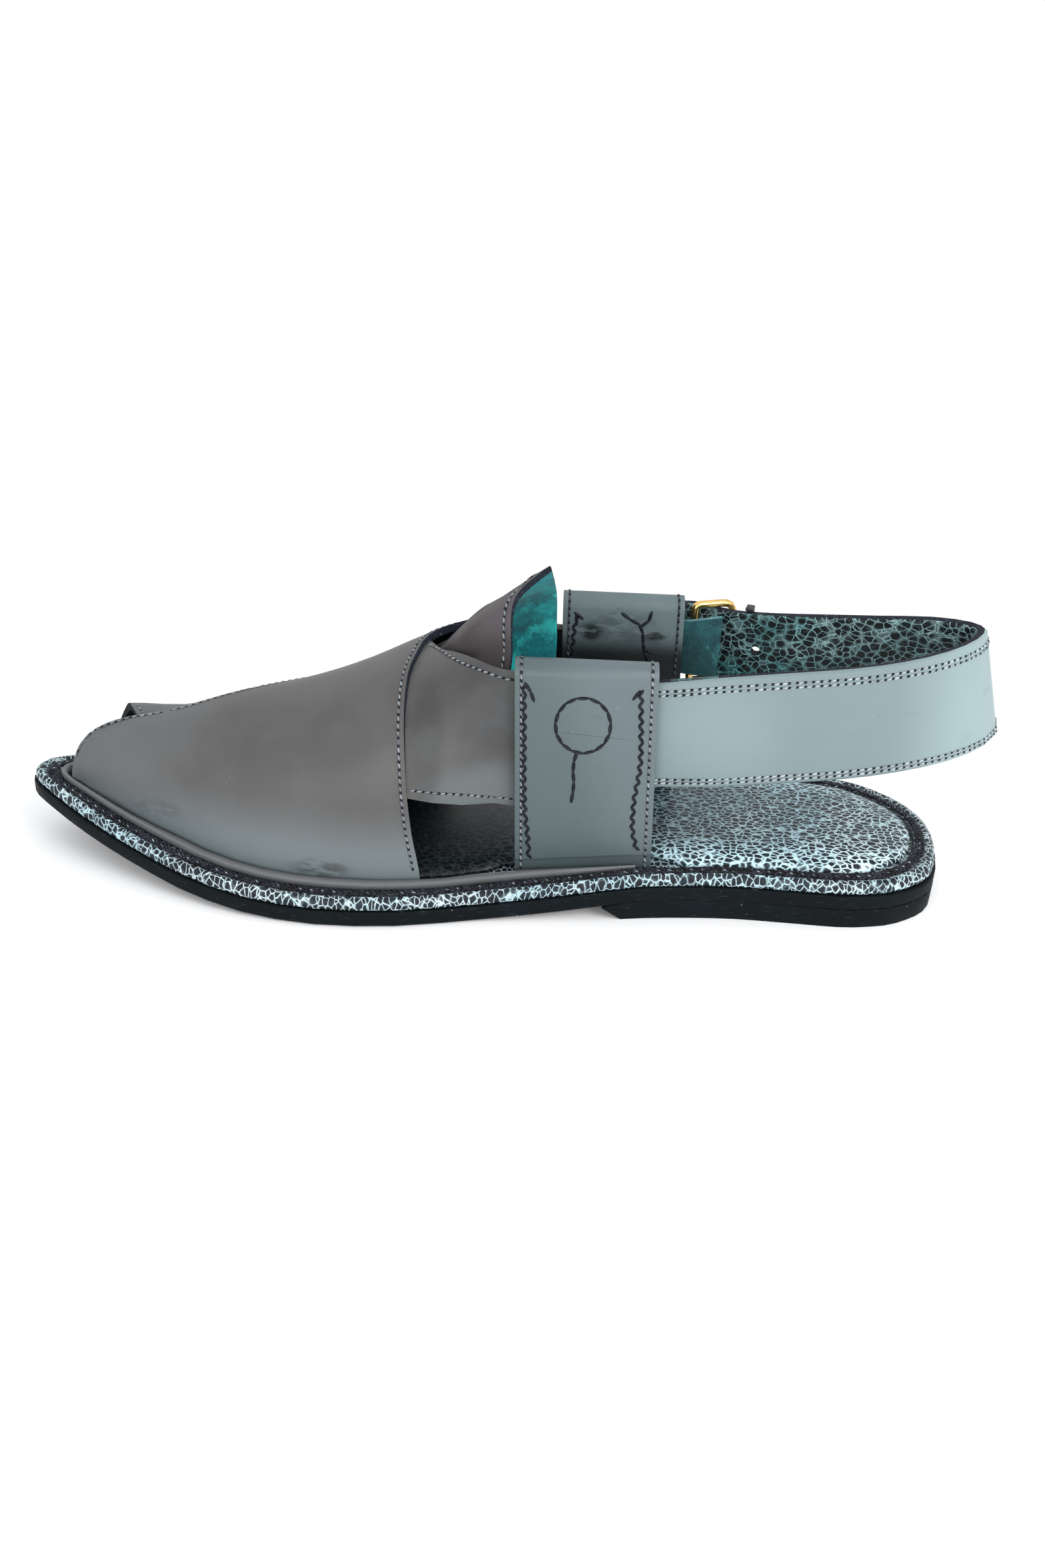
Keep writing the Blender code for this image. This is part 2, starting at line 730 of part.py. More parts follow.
def heel_sling():
    # A flat strap with eased edges, leaning in at its top as it goes round the heel
    stations = path_points(SLING_PATH, 2)
    centres = [place(*row[:3]) for row in stations]
    ease = 0.7
    sections = []
    for i, (along, sideways, height, width, lean) in enumerate(stations):
        run = centres[min(i + 1, len(centres) - 1)] - centres[max(i - 1, 0)]
        run.z = 0.0
        run.normalize()
        out = Vector((run.y, -run.x, 0.0))
        tilt = math.radians(lean)
        up = Vector((0, 0, math.cos(tilt))) - out * math.sin(tilt)
        across = out * math.cos(tilt) + Vector((0, 0, math.sin(tilt)))
        w, t = width / 2, SLING_WALL / 2
        corners = [(w, t - ease), (w - ease, t), (ease - w, t), (-w, t - ease)]
        corners += [(-w, ease - t), (ease - w, -t), (w - ease, -t), (w, ease - t)]
        sections.append([centres[i] + up * u + across * v for u, v in corners])
    sling = add_object("heel_sling", *loft(sections), material("sling_leather", (0.2, 0.22, 0.22), 0.4))
    for number, (along, sideways, slope) in enumerate(SLING_HOLES):
        middle = place(along, sideways, BUCKLE_MIDDLE)
        run = (place(along - 1.0, sideways + slope, BUCKLE_MIDDLE) - middle).normalized() * 7.0
        bar = tube([middle - run, middle + run], HOLE_RADIUS, 12)
        drill = add_object("hole_%d_former" % number, *bar, None)
        add_boolean(sling, drill, "DIFFERENCE")
    return sling


def ribbon(path, thick, low_rows, high_rows):
    # A leaf that stands on edge: a path in plan, with its own lower and upper edges
    sections = []
    for i, (along, sideways) in enumerate(path):
        before, after = path[max(i - 1, 0)], path[min(i + 1, len(path) - 1)]
        run = Vector((before[0] - after[0], after[1] - before[1])).normalized()
        square = Vector((-run.y, run.x)) * thick / 2
        t = i / (len(path) - 1)
        low = low_rows[0] + (low_rows[1] - low_rows[0]) * t
        high = high_rows[0] + (high_rows[1] - high_rows[0]) * t
        corners = []
        for sign, height in ((1, low), (1, high), (-1, high), (-1, low)):
            point = place(along, sideways, height)
            corners.append(point + Vector((square.x, square.y, 0.0)) * sign)
        sections.append(corners)
    return loft(sections)


def buckle_shield():
    # The chape comes out of the lateral tab and hooks round the front bar, with a slot for the
    # prong. The guard leaf goes on behind the buckle, between it and the foot.
    teal = material("shield_suede", (0.03, 0.22, 0.22), 0.9)
    bar_along, bar_side = FRONT_BAR
    reach = BAR_RADIUS + FIT_GAP + CHAPE_WALL / 2
    plane = bar_side - reach
    guard_path = [(CHAPE_ROOT, plane), (90.0, plane), (86.5, plane - 1.2), (83.0, plane - 2.6)]
    guard_path += [(79.0, plane - 3.0), (SHIELD_REAR, plane - 3.0)]
    guard = ribbon(guard_path, CHAPE_WALL, (57.0, 57.0), (73.6, 78.0))
    shield = add_object("buckle_shield", *guard, teal)
    hook = [(CHAPE_ROOT - 4.0, plane), (88.0, plane)]
    for step in range(9):
        angle = math.radians(-90 - 200 * step / 8)
        hook.append((bar_along + reach * math.cos(angle), bar_side + reach * math.sin(angle)))
    leaf = add_object("chape_former", *ribbon(hook, CHAPE_WALL, (57.0, 57.0), (73.6, 73.6)), teal)
    add_boolean(shield, leaf, "UNION")
    slot_half = PRONG_RADIUS + 0.6
    slot_path = [(bar_along + 3.8, bar_side + 0.5), (bar_along - 5.6, bar_side + 0.5)]
    slot_wide = 8.0
    slot_low, slot_high = BUCKLE_MIDDLE - slot_half, BUCKLE_MIDDLE + slot_half
    slot = ribbon(slot_path, slot_wide, (slot_low, slot_low), (slot_high, slot_high))
    add_boolean(shield, add_object("slot_former", *slot, None), "DIFFERENCE")
    return shield


def bar_point(bar, height):
    return place(bar[0], bar[1], height)


def buckle_frame():
    # A closed brass bar with round corners
    low, high = BUCKLE_MIDDLE - BUCKLE_HALF_HEIGHT, BUCKLE_MIDDLE + BUCKLE_HALF_HEIGHT
    front_low, front_high = bar_point(FRONT_BAR, low), bar_point(FRONT_BAR, high)
    rear_low, rear_high = bar_point(REAR_BAR, low), bar_point(REAR_BAR, high)
    corners = [front_low, front_high, rear_high, rear_low]
    path = []
    for i, corner in enumerate(corners):
        radius = 1.8 if i in (0, 1) else 4.0
        to_before = (corners[i - 1] - corner).normalized() * radius
        to_after = (corners[(i + 1) % 4] - corner).normalized() * radius
        for step in range(5):
            t = step / 4
            path.append(corner + to_before * (1 - t) ** 2 + to_after * t ** 2)
    brass = material("brass", (0.75, 0.5, 0.18), 0.25, 1.0)
    return add_object("buckle_frame", *tube(path, BAR_RADIUS, 10, closed=True), brass)


def buckle_prong():
    # The prong loops round the front bar, goes out through the hole and rests on the rear bar
    reach = BAR_RADIUS + FIT_GAP + PRONG_RADIUS
    bar_along, bar_side = FRONT_BAR
    slope = SLING_HOLES[1][2]
    turn = math.atan(slope)
    path = []
    for step in range(9):
        angle = math.radians(-175 + 265 * step / 8) - turn * step / 8
        at_along, at_side = bar_along + reach * math.cos(angle), bar_side + reach * math.sin(angle)
        path.append(place(at_along, at_side, BUCKLE_MIDDLE))
    for along in (80.0, 75.0, REAR_BAR[0], PRONG_TIP):
        path.append(place(along, at_side + (at_along - along) * slope, BUCKLE_MIDDLE))
    brass = material("brass_prong", (0.75, 0.5, 0.18), 0.25, 1.0)
    return add_object("buckle_prong", *tube(path, PRONG_RADIUS, 8), brass)


def keeper_loop():
    # A narrow keeper behind the buckle: a bridge over the sling's outer face and both edges
    stations = path_points(SLING_PATH, 2)
    middle = range(len(stations) // 2, len(stations) - 8)
    i = min(middle, key=lambda k: abs(stations[k][0] - KEEPER_ALONG))
    along, sideways, height, width, lean = stations[i]
    centre = place(along, sideways, height)
    run = place(*stations[i + 1][:3]) - place(*stations[i - 1][:3])
    run.z = 0.0
    run.normalize()
    out = Vector((run.y, -run.x, 0.0))
    edge, face = width / 2 + 2 * FIT_GAP, SLING_WALL / 2 + 2 * FIT_GAP
    outline = [(edge, -0.6), (edge + KEEPER_WALL, -0.6), (edge + KEEPER_WALL, face + KEEPER_WALL)]
    outline += [(-edge - KEEPER_WALL, face + KEEPER_WALL), (-edge - KEEPER_WALL, -0.6), (-edge, -0.6)]
    outline += [(-edge, face), (edge, face)]
    sections = []
    for shift in (-KEEPER_WIDTH / 2, KEEPER_WIDTH / 2):
        sections.append([centre + run * shift + Vector((0, 0, u)) + out * v for u, v in outline])
    return add_object("keeper_loop", *loft(sections), material("keeper_leather", (0.03, 0.03, 0.03), 0.6))


def clear_scene():
    for thing in list(bpy.data.objects):
        bpy.data.objects.remove(thing, do_unlink=True)


def main():
    clear_scene()
    outsole()
    heel_lift()
    footbed()
    insole()
    rand()
    upper()
    tongue()
    for row in TABS:
        tab(row)
    heel_sling()
    buckle_shield()
    buckle_frame()
    buckle_prong()
    keeper_loop()


main()
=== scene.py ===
import json
import math
import random

import bmesh
import bpy
from mathutils import Matrix, Vector
from mathutils.bvhtree import BVHTree

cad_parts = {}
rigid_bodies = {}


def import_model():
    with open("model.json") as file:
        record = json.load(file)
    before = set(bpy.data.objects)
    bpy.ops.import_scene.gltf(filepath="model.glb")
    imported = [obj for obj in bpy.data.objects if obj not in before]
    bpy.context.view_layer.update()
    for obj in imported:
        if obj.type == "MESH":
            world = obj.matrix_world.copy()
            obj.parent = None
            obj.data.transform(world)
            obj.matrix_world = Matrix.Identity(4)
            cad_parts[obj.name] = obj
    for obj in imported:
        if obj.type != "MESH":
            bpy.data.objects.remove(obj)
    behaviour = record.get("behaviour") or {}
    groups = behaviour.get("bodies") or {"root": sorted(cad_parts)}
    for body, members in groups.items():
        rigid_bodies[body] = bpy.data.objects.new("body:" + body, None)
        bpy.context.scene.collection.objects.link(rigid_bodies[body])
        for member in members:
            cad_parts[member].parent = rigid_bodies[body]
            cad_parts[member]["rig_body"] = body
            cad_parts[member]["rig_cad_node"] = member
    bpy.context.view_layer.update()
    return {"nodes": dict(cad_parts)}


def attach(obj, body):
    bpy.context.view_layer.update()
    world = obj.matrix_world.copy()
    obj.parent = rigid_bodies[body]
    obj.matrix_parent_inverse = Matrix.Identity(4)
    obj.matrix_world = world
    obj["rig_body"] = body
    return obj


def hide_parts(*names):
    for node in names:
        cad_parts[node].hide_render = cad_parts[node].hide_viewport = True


# The scene works in metres. The tables below are in millimetres.
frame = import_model()
nodes = frame["nodes"]
bpy.ops.object.select_all(action="DESELECT")
random.seed(11)
mm = 0.001
outerZone, liningZone, edgeZone = 0, 1, 2  # material slots of every leather strap
meshing = {  # lengths in mm, angles in degrees
    "merge": 0.002,
    "quadTurn": 20,
    "quadShape": 60,
    "bevelAngle": 38,
    "smoothAngle": 40,
    "seamStep": 1.0,
    "seamSmooth": 6,
    "walkSteps": 5,
}
print("frame loaded,", len(nodes), "nodes")


class Wire:  # one output of a shader node
    def __init__(self, tree, socket=None):
        self.tree, self.socket = tree, socket

    def node(self, kind, values=None, output=0, **settings):
        made = self.tree.nodes.new(kind)
        for key, value in settings.items():
            setattr(made, key, value)
        for key, value in (values or {}).items():
            if isinstance(value, Wire):
                self.tree.links.new(value.socket, made.inputs[key])
            else:
                made.inputs[key].default_value = value
        return Wire(self.tree, made.outputs[output])

    def maths(self, operation, other=0.0, swapped=False):
        values = {0: other, 1: self} if swapped else {0: self, 1: other}
        return self.node("ShaderNodeMath", values, operation=operation)

    def __add__(self, other):
        return self.maths("ADD", other)

    def __sub__(self, other):
        return self.maths("SUBTRACT", other)

    def __rsub__(self, other):
        return self.maths("SUBTRACT", other, True)

    def __mul__(self, other):
        return self.maths("MULTIPLY", other)

    __radd__, __rmul__ = __add__, __mul__

    def size(self):
        return self.maths("ABSOLUTE")

    def larger(self, other):
        return self.maths("MAXIMUM", other)

    def part(self, axis):
        return self.node("ShaderNodeSeparateXYZ", {0: self}, axis)

    def step(self, low, high):  # 0 below low, 1 above high
        values = {"Value": self, "From Min": low, "From Max": high}
        return self.node("ShaderNodeMapRange", values, interpolation_type="SMOOTHSTEP")

    def pick(self, first, second):  # first where self is 0, second where it is 1
        values = {0: self, 6: colour(first), 7: colour(second)}
        return self.node("ShaderNodeMix", values, 2, data_type="RGBA")

    def vector(self, operation, other=(0, 0, 0), output=0):
        return self.node("ShaderNodeVectorMath", {0: self, 1: other}, output, operation=operation)

    def noise(self, scale, detail=3.0, rough=0.55, output=0):
        values = {"Vector": self, "Scale": scale, "Detail": detail, "Roughness": rough}
        return self.node("ShaderNodeTexNoise", values, output)

    def cells(self, scale, feature="F1", output="Distance"):
        return self.node("ShaderNodeTexVoronoi", {"Vector": self, "Scale": scale}, output, feature=feature)

    def stretch(self, x, y, z, turn=(0, 0, 0)):
        values = {"Vector": self, "Scale": (x, y, z), "Rotation": [math.radians(angle) for angle in turn]}
        return self.node("ShaderNodeMapping", values)

    def warp(self, scale, amount):  # the same place, pushed about by noise
        push = self.noise(scale, 2, output="Color").vector("SUBTRACT", (0.5, 0.5, 0.5))
        return self.vector("ADD", push.vector("MULTIPLY", (amount, amount, amount)))


def colour(value):
    return value if isinstance(value, Wire) else (*value, 1.0)


def tinged(shade, factor):  # the same colour, darker below 1 and lighter above it
    return [value * factor for value in shade]


def startFinish(name):
    finish = bpy.data.materials.new(name)
    finish.use_nodes = True
    tree = finish.node_tree
    return finish, tree.nodes["Principled BSDF"], Wire(tree).node("ShaderNodeTexCoord", output="Object")


def endFinish(finish, shader, base, roughness, height, depth, strength=1.0, **fixed):
    tree = finish.node_tree
    for name, value in {"Base Color": base, "Roughness": roughness}.items():
        if isinstance(value, Wire):
            tree.links.new(value.socket, shader.inputs[name])
        else:
            shader.inputs[name].default_value = value
    bump = Wire(tree).node("ShaderNodeBump", {"Strength": strength, "Distance": depth, "Height": height})
    tree.links.new(bump.socket, shader.inputs["Normal"])
    for name, value in fixed.items():
        shader.inputs[name.replace("_", " ")].default_value = value
    return finish


def spotMask(place, centre, reach):  # 1 inside a soft blot at centre, in mm
    offset = place.vector("SUBTRACT", [value * mm for value in centre])
    share = offset.vector("DIVIDE", [value * mm for value in reach])
    return 1 - share.vector("LENGTH", output="Value").step(0.35, 1.0)


nearTabMarks = {  # heights and lengths in metres, slopes in metres a metre
    "scratchHeight": 0.06198,
    "scratchFall": 0.0786,
    "scratchFrom": 0.015,
    "scratchTo": 0.038,
    "creaseHeight": 0.0145,
    "creaseRise": 0.101,
}


def markNearTab(place, base, shade):  # one fine scratch across the ring, and the crease above the welt
    marks = nearTabMarks
    x, height = place.part("X"), place.part("Z")
    outside = 1 - place.part("Y").step(-0.02, 0.0)
    gap = height + x * marks["scratchFall"] - marks["scratchHeight"] + place.noise(60, 1) * 0.0004
    line = 1 - gap.size().step(0.00002, 0.00014)
    line = line * x.step(marks["scratchFrom"], marks["scratchFrom"] + 0.002)
    line = line * (1 - x.step(marks["scratchTo"] - 0.004, marks["scratchTo"]))
    base = (line * outside * 0.8).pick(base, tinged(shade, 0.25))
    foot = x * marks["creaseRise"] + marks["creaseHeight"] - height + place.noise(50, 2) * 0.0012 - 0.0006
    base = (foot.step(-0.0003, 0.0005) * outside * 0.4).pick(base, tinged(shade, 0.4))
    return base, foot.step(-0.0004, 0.0004) * 2.5


leatherGrain = {  # how fine each pattern is, in repeats a metre
    "patches": 16,
    "clouds": 70,
    "smudges": 38,
    "blots": 130,
    "dust": 230,
    "pores": 950,
    "fineGrain": 420,
    "waves": 45,
    "relief": 0.00016,  # depth in metres
}


def leatherFinish(name, shade, warm, scuff, polish, blots=(), towards=((0, 0, 1), 30, 62), tones=(),
                  scratch=False, gloss=0.5):
    finish, shader, place = startFinish(name)
    grain = leatherGrain
    clouds = place.noise(grain["clouds"], 3)
    direction, low, high = towards  # the tone turns from shade to warm between these mm along the direction
    along = place.vector("DOT_PRODUCT", direction, "Value").step(low * mm, high * mm)
    patches = place.noise(grain["patches"], 4) * 0.36 - 0.18 + along
    base = patches.step(0.1, 0.9).pick(shade, warm)
    # soft tone spots; some of them are painted shade, painted shadow or painted highlight
    for centre, reach, force, tone in tones:
        base = (spotMask(place, centre, reach) * force).pick(base, tone)
    base = (clouds.step(0.35, 0.8) * 0.1).pick(base, tinged(shade, 1.35))
    smudge = place.stretch(1, 1, 2.2).warp(40, 0.01).noise(grain["smudges"], 5, 0.7).step(0.62, 0.74) * scuff
    base = smudge.pick(base, tinged(shade, 0.45))
    for centre, reach, force in blots:
        streaks = place.stretch(1, 1, 3).noise(grain["blots"], 4, 0.7).step(0.4, 0.58)
        blot = spotMask(place.warp(60, 0.006), centre, reach) * streaks
        base = (blot * force).pick(base, tinged(shade, 0.3))
    if scratch:
        base, dent = markNearTab(place, base, shade)
    lines = place.stretch(5, 60, 16, (0, 35, 10)).noise(1.6, 2, 0.4)  # long hairline scratches
    hair = (1 - (lines - 0.5).size().step(0.0, 0.004)) * place.noise(30, 2).step(0.54, 0.66)
    base = (hair * 0.05).pick(base, (0.32, 0.36, 0.36))
    specks = 1 - place.cells(grain["dust"]).step(0.016, 0.036)
    specks = specks * place.cells(grain["dust"], output="Color").step(0.58, 0.62)
    base = (specks * 0.6).pick(base, (0.6, 0.63, 0.63))
    pores = place.cells(grain["pores"], "DISTANCE_TO_EDGE").step(0.0, 0.18)
    height = (pores * 0.45 + place.noise(grain["fineGrain"], 4) * 0.5) * 0.4
    height = height + place.noise(grain["waves"], 2) * 1.2 - hair * 0.5 + specks * 0.6
    if scratch:
        height = height - dent
    rough = polish + clouds * 0.16 + smudge * 0.12 - hair * 0.05
    return endFinish(finish, shader, base, rough, height, grain["relief"], 0.55, Specular_IOR_Level=gloss)


crackleNet = {  # as in leatherGrain
    "wander": 150,
    "fray": 900,
    "broken": 1100,
    "relief": 0.00025,
    "gloss": 0.22,
}


def crackleFinish(name, cell, net, size, width, stretch=(1, 1, 1), tint=0.5, corners=0.5, strands=0.25,
                  second=None, paintedStrapShade=False):
    finish, shader, place = startFinish(name)
    warped = place.stretch(*stretch).warp(crackleNet["wander"], 0.0026).warp(crackleNet["fray"], 0.00035)
    scale = 1 / (size * mm)
    spread = place.noise(120, 3) * width * 1.5 + width * 0.25  # the net is finer here and broader there
    if paintedStrapShade:  # painted shade: the net fades to charcoal under the straps, where their shadow falls, and is whitest round the heel's edge
        across = place.part("X") + place.noise(40, 2) * 0.03 - 0.015
        edge = place.part("Y").size().step(0.014, 0.029) * across.step(0.01, 0.06)
        fade = (across.step(-0.02, 0.12) * 0.8 + 0.03 + edge * 0.5).maths("MINIMUM", 1.0)
        spread = spread + edge * 0.045
    vein = 1 - warped.cells(scale, "DISTANCE_TO_EDGE").step(spread * 0.35, spread)
    corner = warped.cells(scale).step(0.47, 0.66)  # pale where three islands meet
    lines = vein.larger(corner * corners)
    strand = place.stretch(*stretch).warp(420, 0.0022).cells(scale * 1.9, "DISTANCE_TO_EDGE")
    strand = (1 - strand.step(0.01, 0.055)) * place.noise(260, 2).step(0.45, 0.6)
    lines = lines.larger(strand * strands)
    lines = lines * (place.noise(crackleNet["broken"], 2, 0.7).step(0.2, 0.55) * 0.45 + 0.55)
    island = warped.cells(scale, output="Color").step(0.25, 0.95)
    dye = (island * tint).pick(cell, (cell[0] * 1.6, cell[1] * 2.3, cell[2] * 2.3))
    second = second or (net[0] * 0.76, net[1] * 0.88, net[2] * 0.92)
    netShade = place.noise(34, 3).step(0.35, 0.66).pick(net, second)
    if paintedStrapShade:
        lines = lines * fade
        # painted shade: the islands darken under the straps too
        dye = across.step(-0.01, 0.05).pick(tinged(cell, 0.25), dye)
    base = lines.pick(dye, netShade)
    height = (1 - lines) * 0.9 + place.noise(900, 3) * 0.2
    rough = lines * 0.25 + 0.34 + place.noise(120, 2) * 0.1
    return endFinish(finish, shader, base, rough, height, crackleNet["relief"], 0.9,
                     Specular_IOR_Level=crackleNet["gloss"])


def cutEdgeFinish(name, shade, fibre):
    finish, shader, place = startFinish(name)
    strands = place.stretch(1, 1, 6).noise(700, 3, 0.7).step(0.56, 0.7)
    base = (strands * 0.55).pick(shade, fibre)
    base = (place.noise(80, 3).step(0.4, 0.7) * 0.5).pick(base, tinged(shade, 0.4))
    height = place.stretch(1, 1, 6).noise(900, 3)
    return endFinish(finish, shader, base, 0.72, height, 0.0002, 0.8, Specular_IOR_Level=0.15)


def suedeFinish(name, shade, bright, dark):
    finish, shader, place = startFinish(name)
    # mottled nap, and painted shade: darker towards the bottom, which lies in shade behind the near tab
    napAndShade = place.noise(95, 4, 0.65).step(0.38, 0.66) * (place.part("Z").step(0.058, 0.078) * 0.7 + 0.3)
    base = napAndShade.pick(dark, shade)
    base = (place.stretch(1, 1, 0.7).noise(75, 5, 0.7).step(0.5, 0.66) * 0.9).pick(base, bright)
    fuzz = place.noise(1500, 3, 0.7)
    base = (fuzz.step(0.3, 0.75) * 0.35).pick(base, tinged(shade, 1.6))
    height = fuzz + place.noise(160, 3) * 1.5
    return endFinish(finish, shader, base, 0.88, height, 0.00022, 0.8, Sheen_Weight=0.12,
                     Specular_IOR_Level=0.2)


def rubberFinish(name, shade, dusty, polish, tread=False):
    finish, shader, place = startFinish(name)
    base = (place.noise(45, 4).step(0.4, 0.72) * 0.5).pick(shade, tinged(shade, 1.9))
    rub = place.stretch(1, 1, 9).noise(260, 3, 0.6).step(0.60, 0.72) * dusty
    base = (rub * 0.35).pick(base, (0.16, 0.18, 0.18))
    specks = (1 - place.cells(330).step(0.05, 0.09)) * place.cells(330, output="Color").step(0.66, 0.72)
    base = (specks * dusty).pick(base, (0.62, 0.65, 0.65))
    height = place.noise(600, 4) * 0.5 + place.noise(90, 2) + specks * 0.5
    if tread:  # fine crossed ribs under the sole
        for turn in (38, -38):
            turned = place.stretch(1, 1, 0, (0, 0, turn))
            ribs = place.node("ShaderNodeTexWave", {"Vector": turned, "Scale": 130.0})
            height = height + ribs.step(0.35, 0.65) * 2.5
    rough = polish + place.noise(130, 3) * 0.2 + rub * 0.1
    return endFinish(finish, shader, base, rough, height, 0.0002, 0.7, Specular_IOR_Level=0.08)


def brassFinish(name, shade, tarnish):
    finish, shader, place = startFinish(name)
    base = (place.noise(220, 4).step(0.42, 0.75) * 0.7).pick(shade, tarnish)
    height = place.stretch(1, 1, 6).noise(900, 3) * 0.5 + place.noise(300, 2)
    rough = place.noise(260, 3) * 0.25 + 0.12
    return endFinish(finish, shader, base, rough, height, 0.00004, 0.5, Metallic=1.0)


def threadFinish(name, shade, pale, polish=0.6):
    finish, shader, place = startFinish(name)
    base = place.noise(420, 3).step(0.35, 0.7).pick(shade, pale)
    twist = place.stretch(1, 1, 1, (30, 20, 45)).noise(2600, 2)
    return endFinish(finish, shader, base, polish, twist, 0.0001, 0.8, Specular_IOR_Level=0.22)


# painted shade: dark beads that stand for the shade inside the needle holes
def pitFinish(name, shade):
    finish, shader, place = startFinish(name)
    base = place.noise(300, 3).step(0.3, 0.7).pick(shade, tinged(shade, 2.2))
    return endFinish(finish, shader, base, 0.7, place.noise(900, 2), 0.0001, Specular_IOR_Level=0.1)


finishes = {
    "strap": leatherFinish(
        "slateLeather", shade=(0.132, 0.160, 0.168), warm=(0.065, 0.0610, 0.0605), scuff=0.25, polish=0.42,
        towards=((0, 0, 1), 4, 46),
        blots=[  # centre, reach, force
            ((-57, -40, 14), (13, 12, 4.5), 0.75),
            ((-112, -22, 22), (15, 14, 5), 0.35),
            ((-50, 40, 14), (12, 12, 4), 0.5),
        ],
        tones=[  # centre, reach, force, colour
            # painted shade: the rear strap's top is darker where it turns from the light
            ((0, -28, 66), (34, 40, 25), 0.75, (0.028, 0.029, 0.030)),
            ((-6, -34, 38), (26, 16, 14), 0.7, (0.10, 0.125, 0.13)),
            # painted shadow: cast by the front strap's edge onto the rear strap
            ((-25, -30, 55), (8, 30, 26), 0.6, (0.020, 0.020, 0.020)),
            # painted highlight: the toe's crest is lighter where it catches the sky
            ((-124, 0, 42), (42, 40, 22), 0.6, (0.105, 0.112, 0.114)),
        ]),
    "tongue": leatherFinish(
        "plumLeather", shade=(0.028, 0.022, 0.024), warm=(0.074, 0.064, 0.069), scuff=0.15, polish=0.46,
        # painted highlight: lighter towards the crest, a painted sheen
        towards=((0, 0, 1), 70, 94), gloss=0.35),
    "tab": leatherFinish(
        "mossLeather", shade=(0.070, 0.097, 0.102), warm=(0.092, 0.122, 0.132), scuff=0.3, polish=0.34,
        towards=((1, 0, 0.3), 20, 62), scratch=True),
    "farTab": leatherFinish(  # dark and smudged on its inner leaf alone: darker towards the bottom as painted shade between the tabs, lighter at the top as a painted highlight on the fold
        "darkMossLeather", shade=(0.009, 0.012, 0.013), warm=(0.110, 0.146, 0.153), scuff=0.5, polish=0.38,
        towards=((0, 6, 1), 188, 206), gloss=0.2,
        blots=[
            ((24, 21, 72), (5, 4, 4), 0.85),
            ((46, 21, 72), (6, 4, 4), 0.85),
            ((33, 21, 74), (17, 4, 8), 0.4),
        ]),
    "sling": leatherFinish(
        "mistLeather", shade=(0.148, 0.201, 0.210), warm=(0.240, 0.322, 0.330), scuff=0.12, polish=0.36,
        # painted light: lighter towards the heel, where the light falls; the tone spot on the near side is
        # painted light too
        towards=((1, 0, 0), 96, 160), tones=[((62, -40, 62), (30, 30, 26), 0.7, (0.190, 0.256, 0.264))]),
    "rand": leatherFinish(
        "randLeather", shade=(0.110, 0.114, 0.119), warm=(0.12, 0.122, 0.126), scuff=0.5, polish=0.24),
    "keeper": leatherFinish(
        "blackKeeper", shade=(0.008, 0.009, 0.012), warm=(0.015, 0.017, 0.02), scuff=0.2, polish=0.5),
    "lining": leatherFinish(
        "inkLining", shade=(0.008, 0.010, 0.014), warm=(0.016, 0.020, 0.025), scuff=0.3, polish=0.7,
        gloss=0.15),
    "navyEdge": cutEdgeFinish("navyEdge", shade=(0.010, 0.013, 0.022), fibre=(0.14, 0.17, 0.22)),
    "tabEdge": cutEdgeFinish("greyEdge", shade=(0.045, 0.058, 0.062), fibre=(0.20, 0.24, 0.25)),
    "paleEdge": cutEdgeFinish("paleEdge", shade=(0.10, 0.24, 0.26), fibre=(0.62, 0.7, 0.7)),
    "teal": suedeFinish(
        "tealSuede", shade=(0.012, 0.28, 0.30), bright=(0.045, 0.72, 0.68), dark=(0.005, 0.10, 0.12)),
    "shield": suedeFinish(
        # painted shade: the tongue's suede, made darker and greyer where the shield lies in shade
        "shieldSuede", shade=(0.022, 0.11, 0.12), bright=(0.06, 0.26, 0.27), dark=(0.010, 0.030, 0.036)),
    "rim": crackleFinish(
        "rimCrackle", cell=(0.010, 0.013, 0.018), net=(0.55, 0.67, 0.70), size=2.05, width=0.105,
        stretch=(1.15, 1, 0.75), corners=0.12, strands=0.0),
    "pad": crackleFinish(
        "padCrackle", cell=(0.011, 0.015, 0.021), net=(0.68, 0.86, 0.91), size=2.05, width=0.115,
        stretch=(0.8, 1.15, 1), corners=0.25, strands=0.08, paintedStrapShade=True),
    "slingLining": crackleFinish(
        "slingCrackle", cell=(0.004, 0.006, 0.007), net=(0.06, 0.27, 0.28), size=2.2, width=0.07,
        stretch=(0.8, 1, 1), tint=0.2, corners=0.3, second=(0.26, 0.40, 0.41)),
    "cordBase": crackleFinish(
        "cordBase", cell=(0.008, 0.009, 0.012), net=(0.15, 0.175, 0.20), size=1.0, width=0.08),
    "outsole": rubberFinish("soleRubber", shade=(0.0030, 0.0050, 0.0064), dusty=0.35, polish=0.46),
    "tread": rubberFinish("treadRubber", shade=(0.008, 0.009, 0.010), dusty=0.6, polish=0.6, tread=True),
    "brass": brassFinish("oldBrass", shade=(0.86, 0.56, 0.20), tarnish=(0.30, 0.20, 0.07)),
    "thread": threadFinish("greyThread", shade=(0.12, 0.135, 0.145), pale=(0.29, 0.315, 0.33)),
    "paleThread": threadFinish("paleThread", shade=(0.20, 0.24, 0.25), pale=(0.46, 0.51, 0.53)),
    "dimThread": threadFinish("dimThread", shade=(0.03, 0.034, 0.036), pale=(0.10, 0.115, 0.12)),
    "wax": threadFinish("waxedThread", shade=(0.004, 0.005, 0.007), pale=(0.014, 0.016, 0.022), polish=0.3),
    "cord": threadFinish("plumCord", shade=(0.006, 0.006, 0.009), pale=(0.030, 0.031, 0.042), polish=0.7),
    "speck": threadFinish("paleStitch", shade=(0.10, 0.13, 0.16), pale=(0.42, 0.50, 0.54)),
    "pit": pitFinish("needlePit", shade=(0.008, 0.009, 0.013)),
}
print("finishes made:", len(finishes))


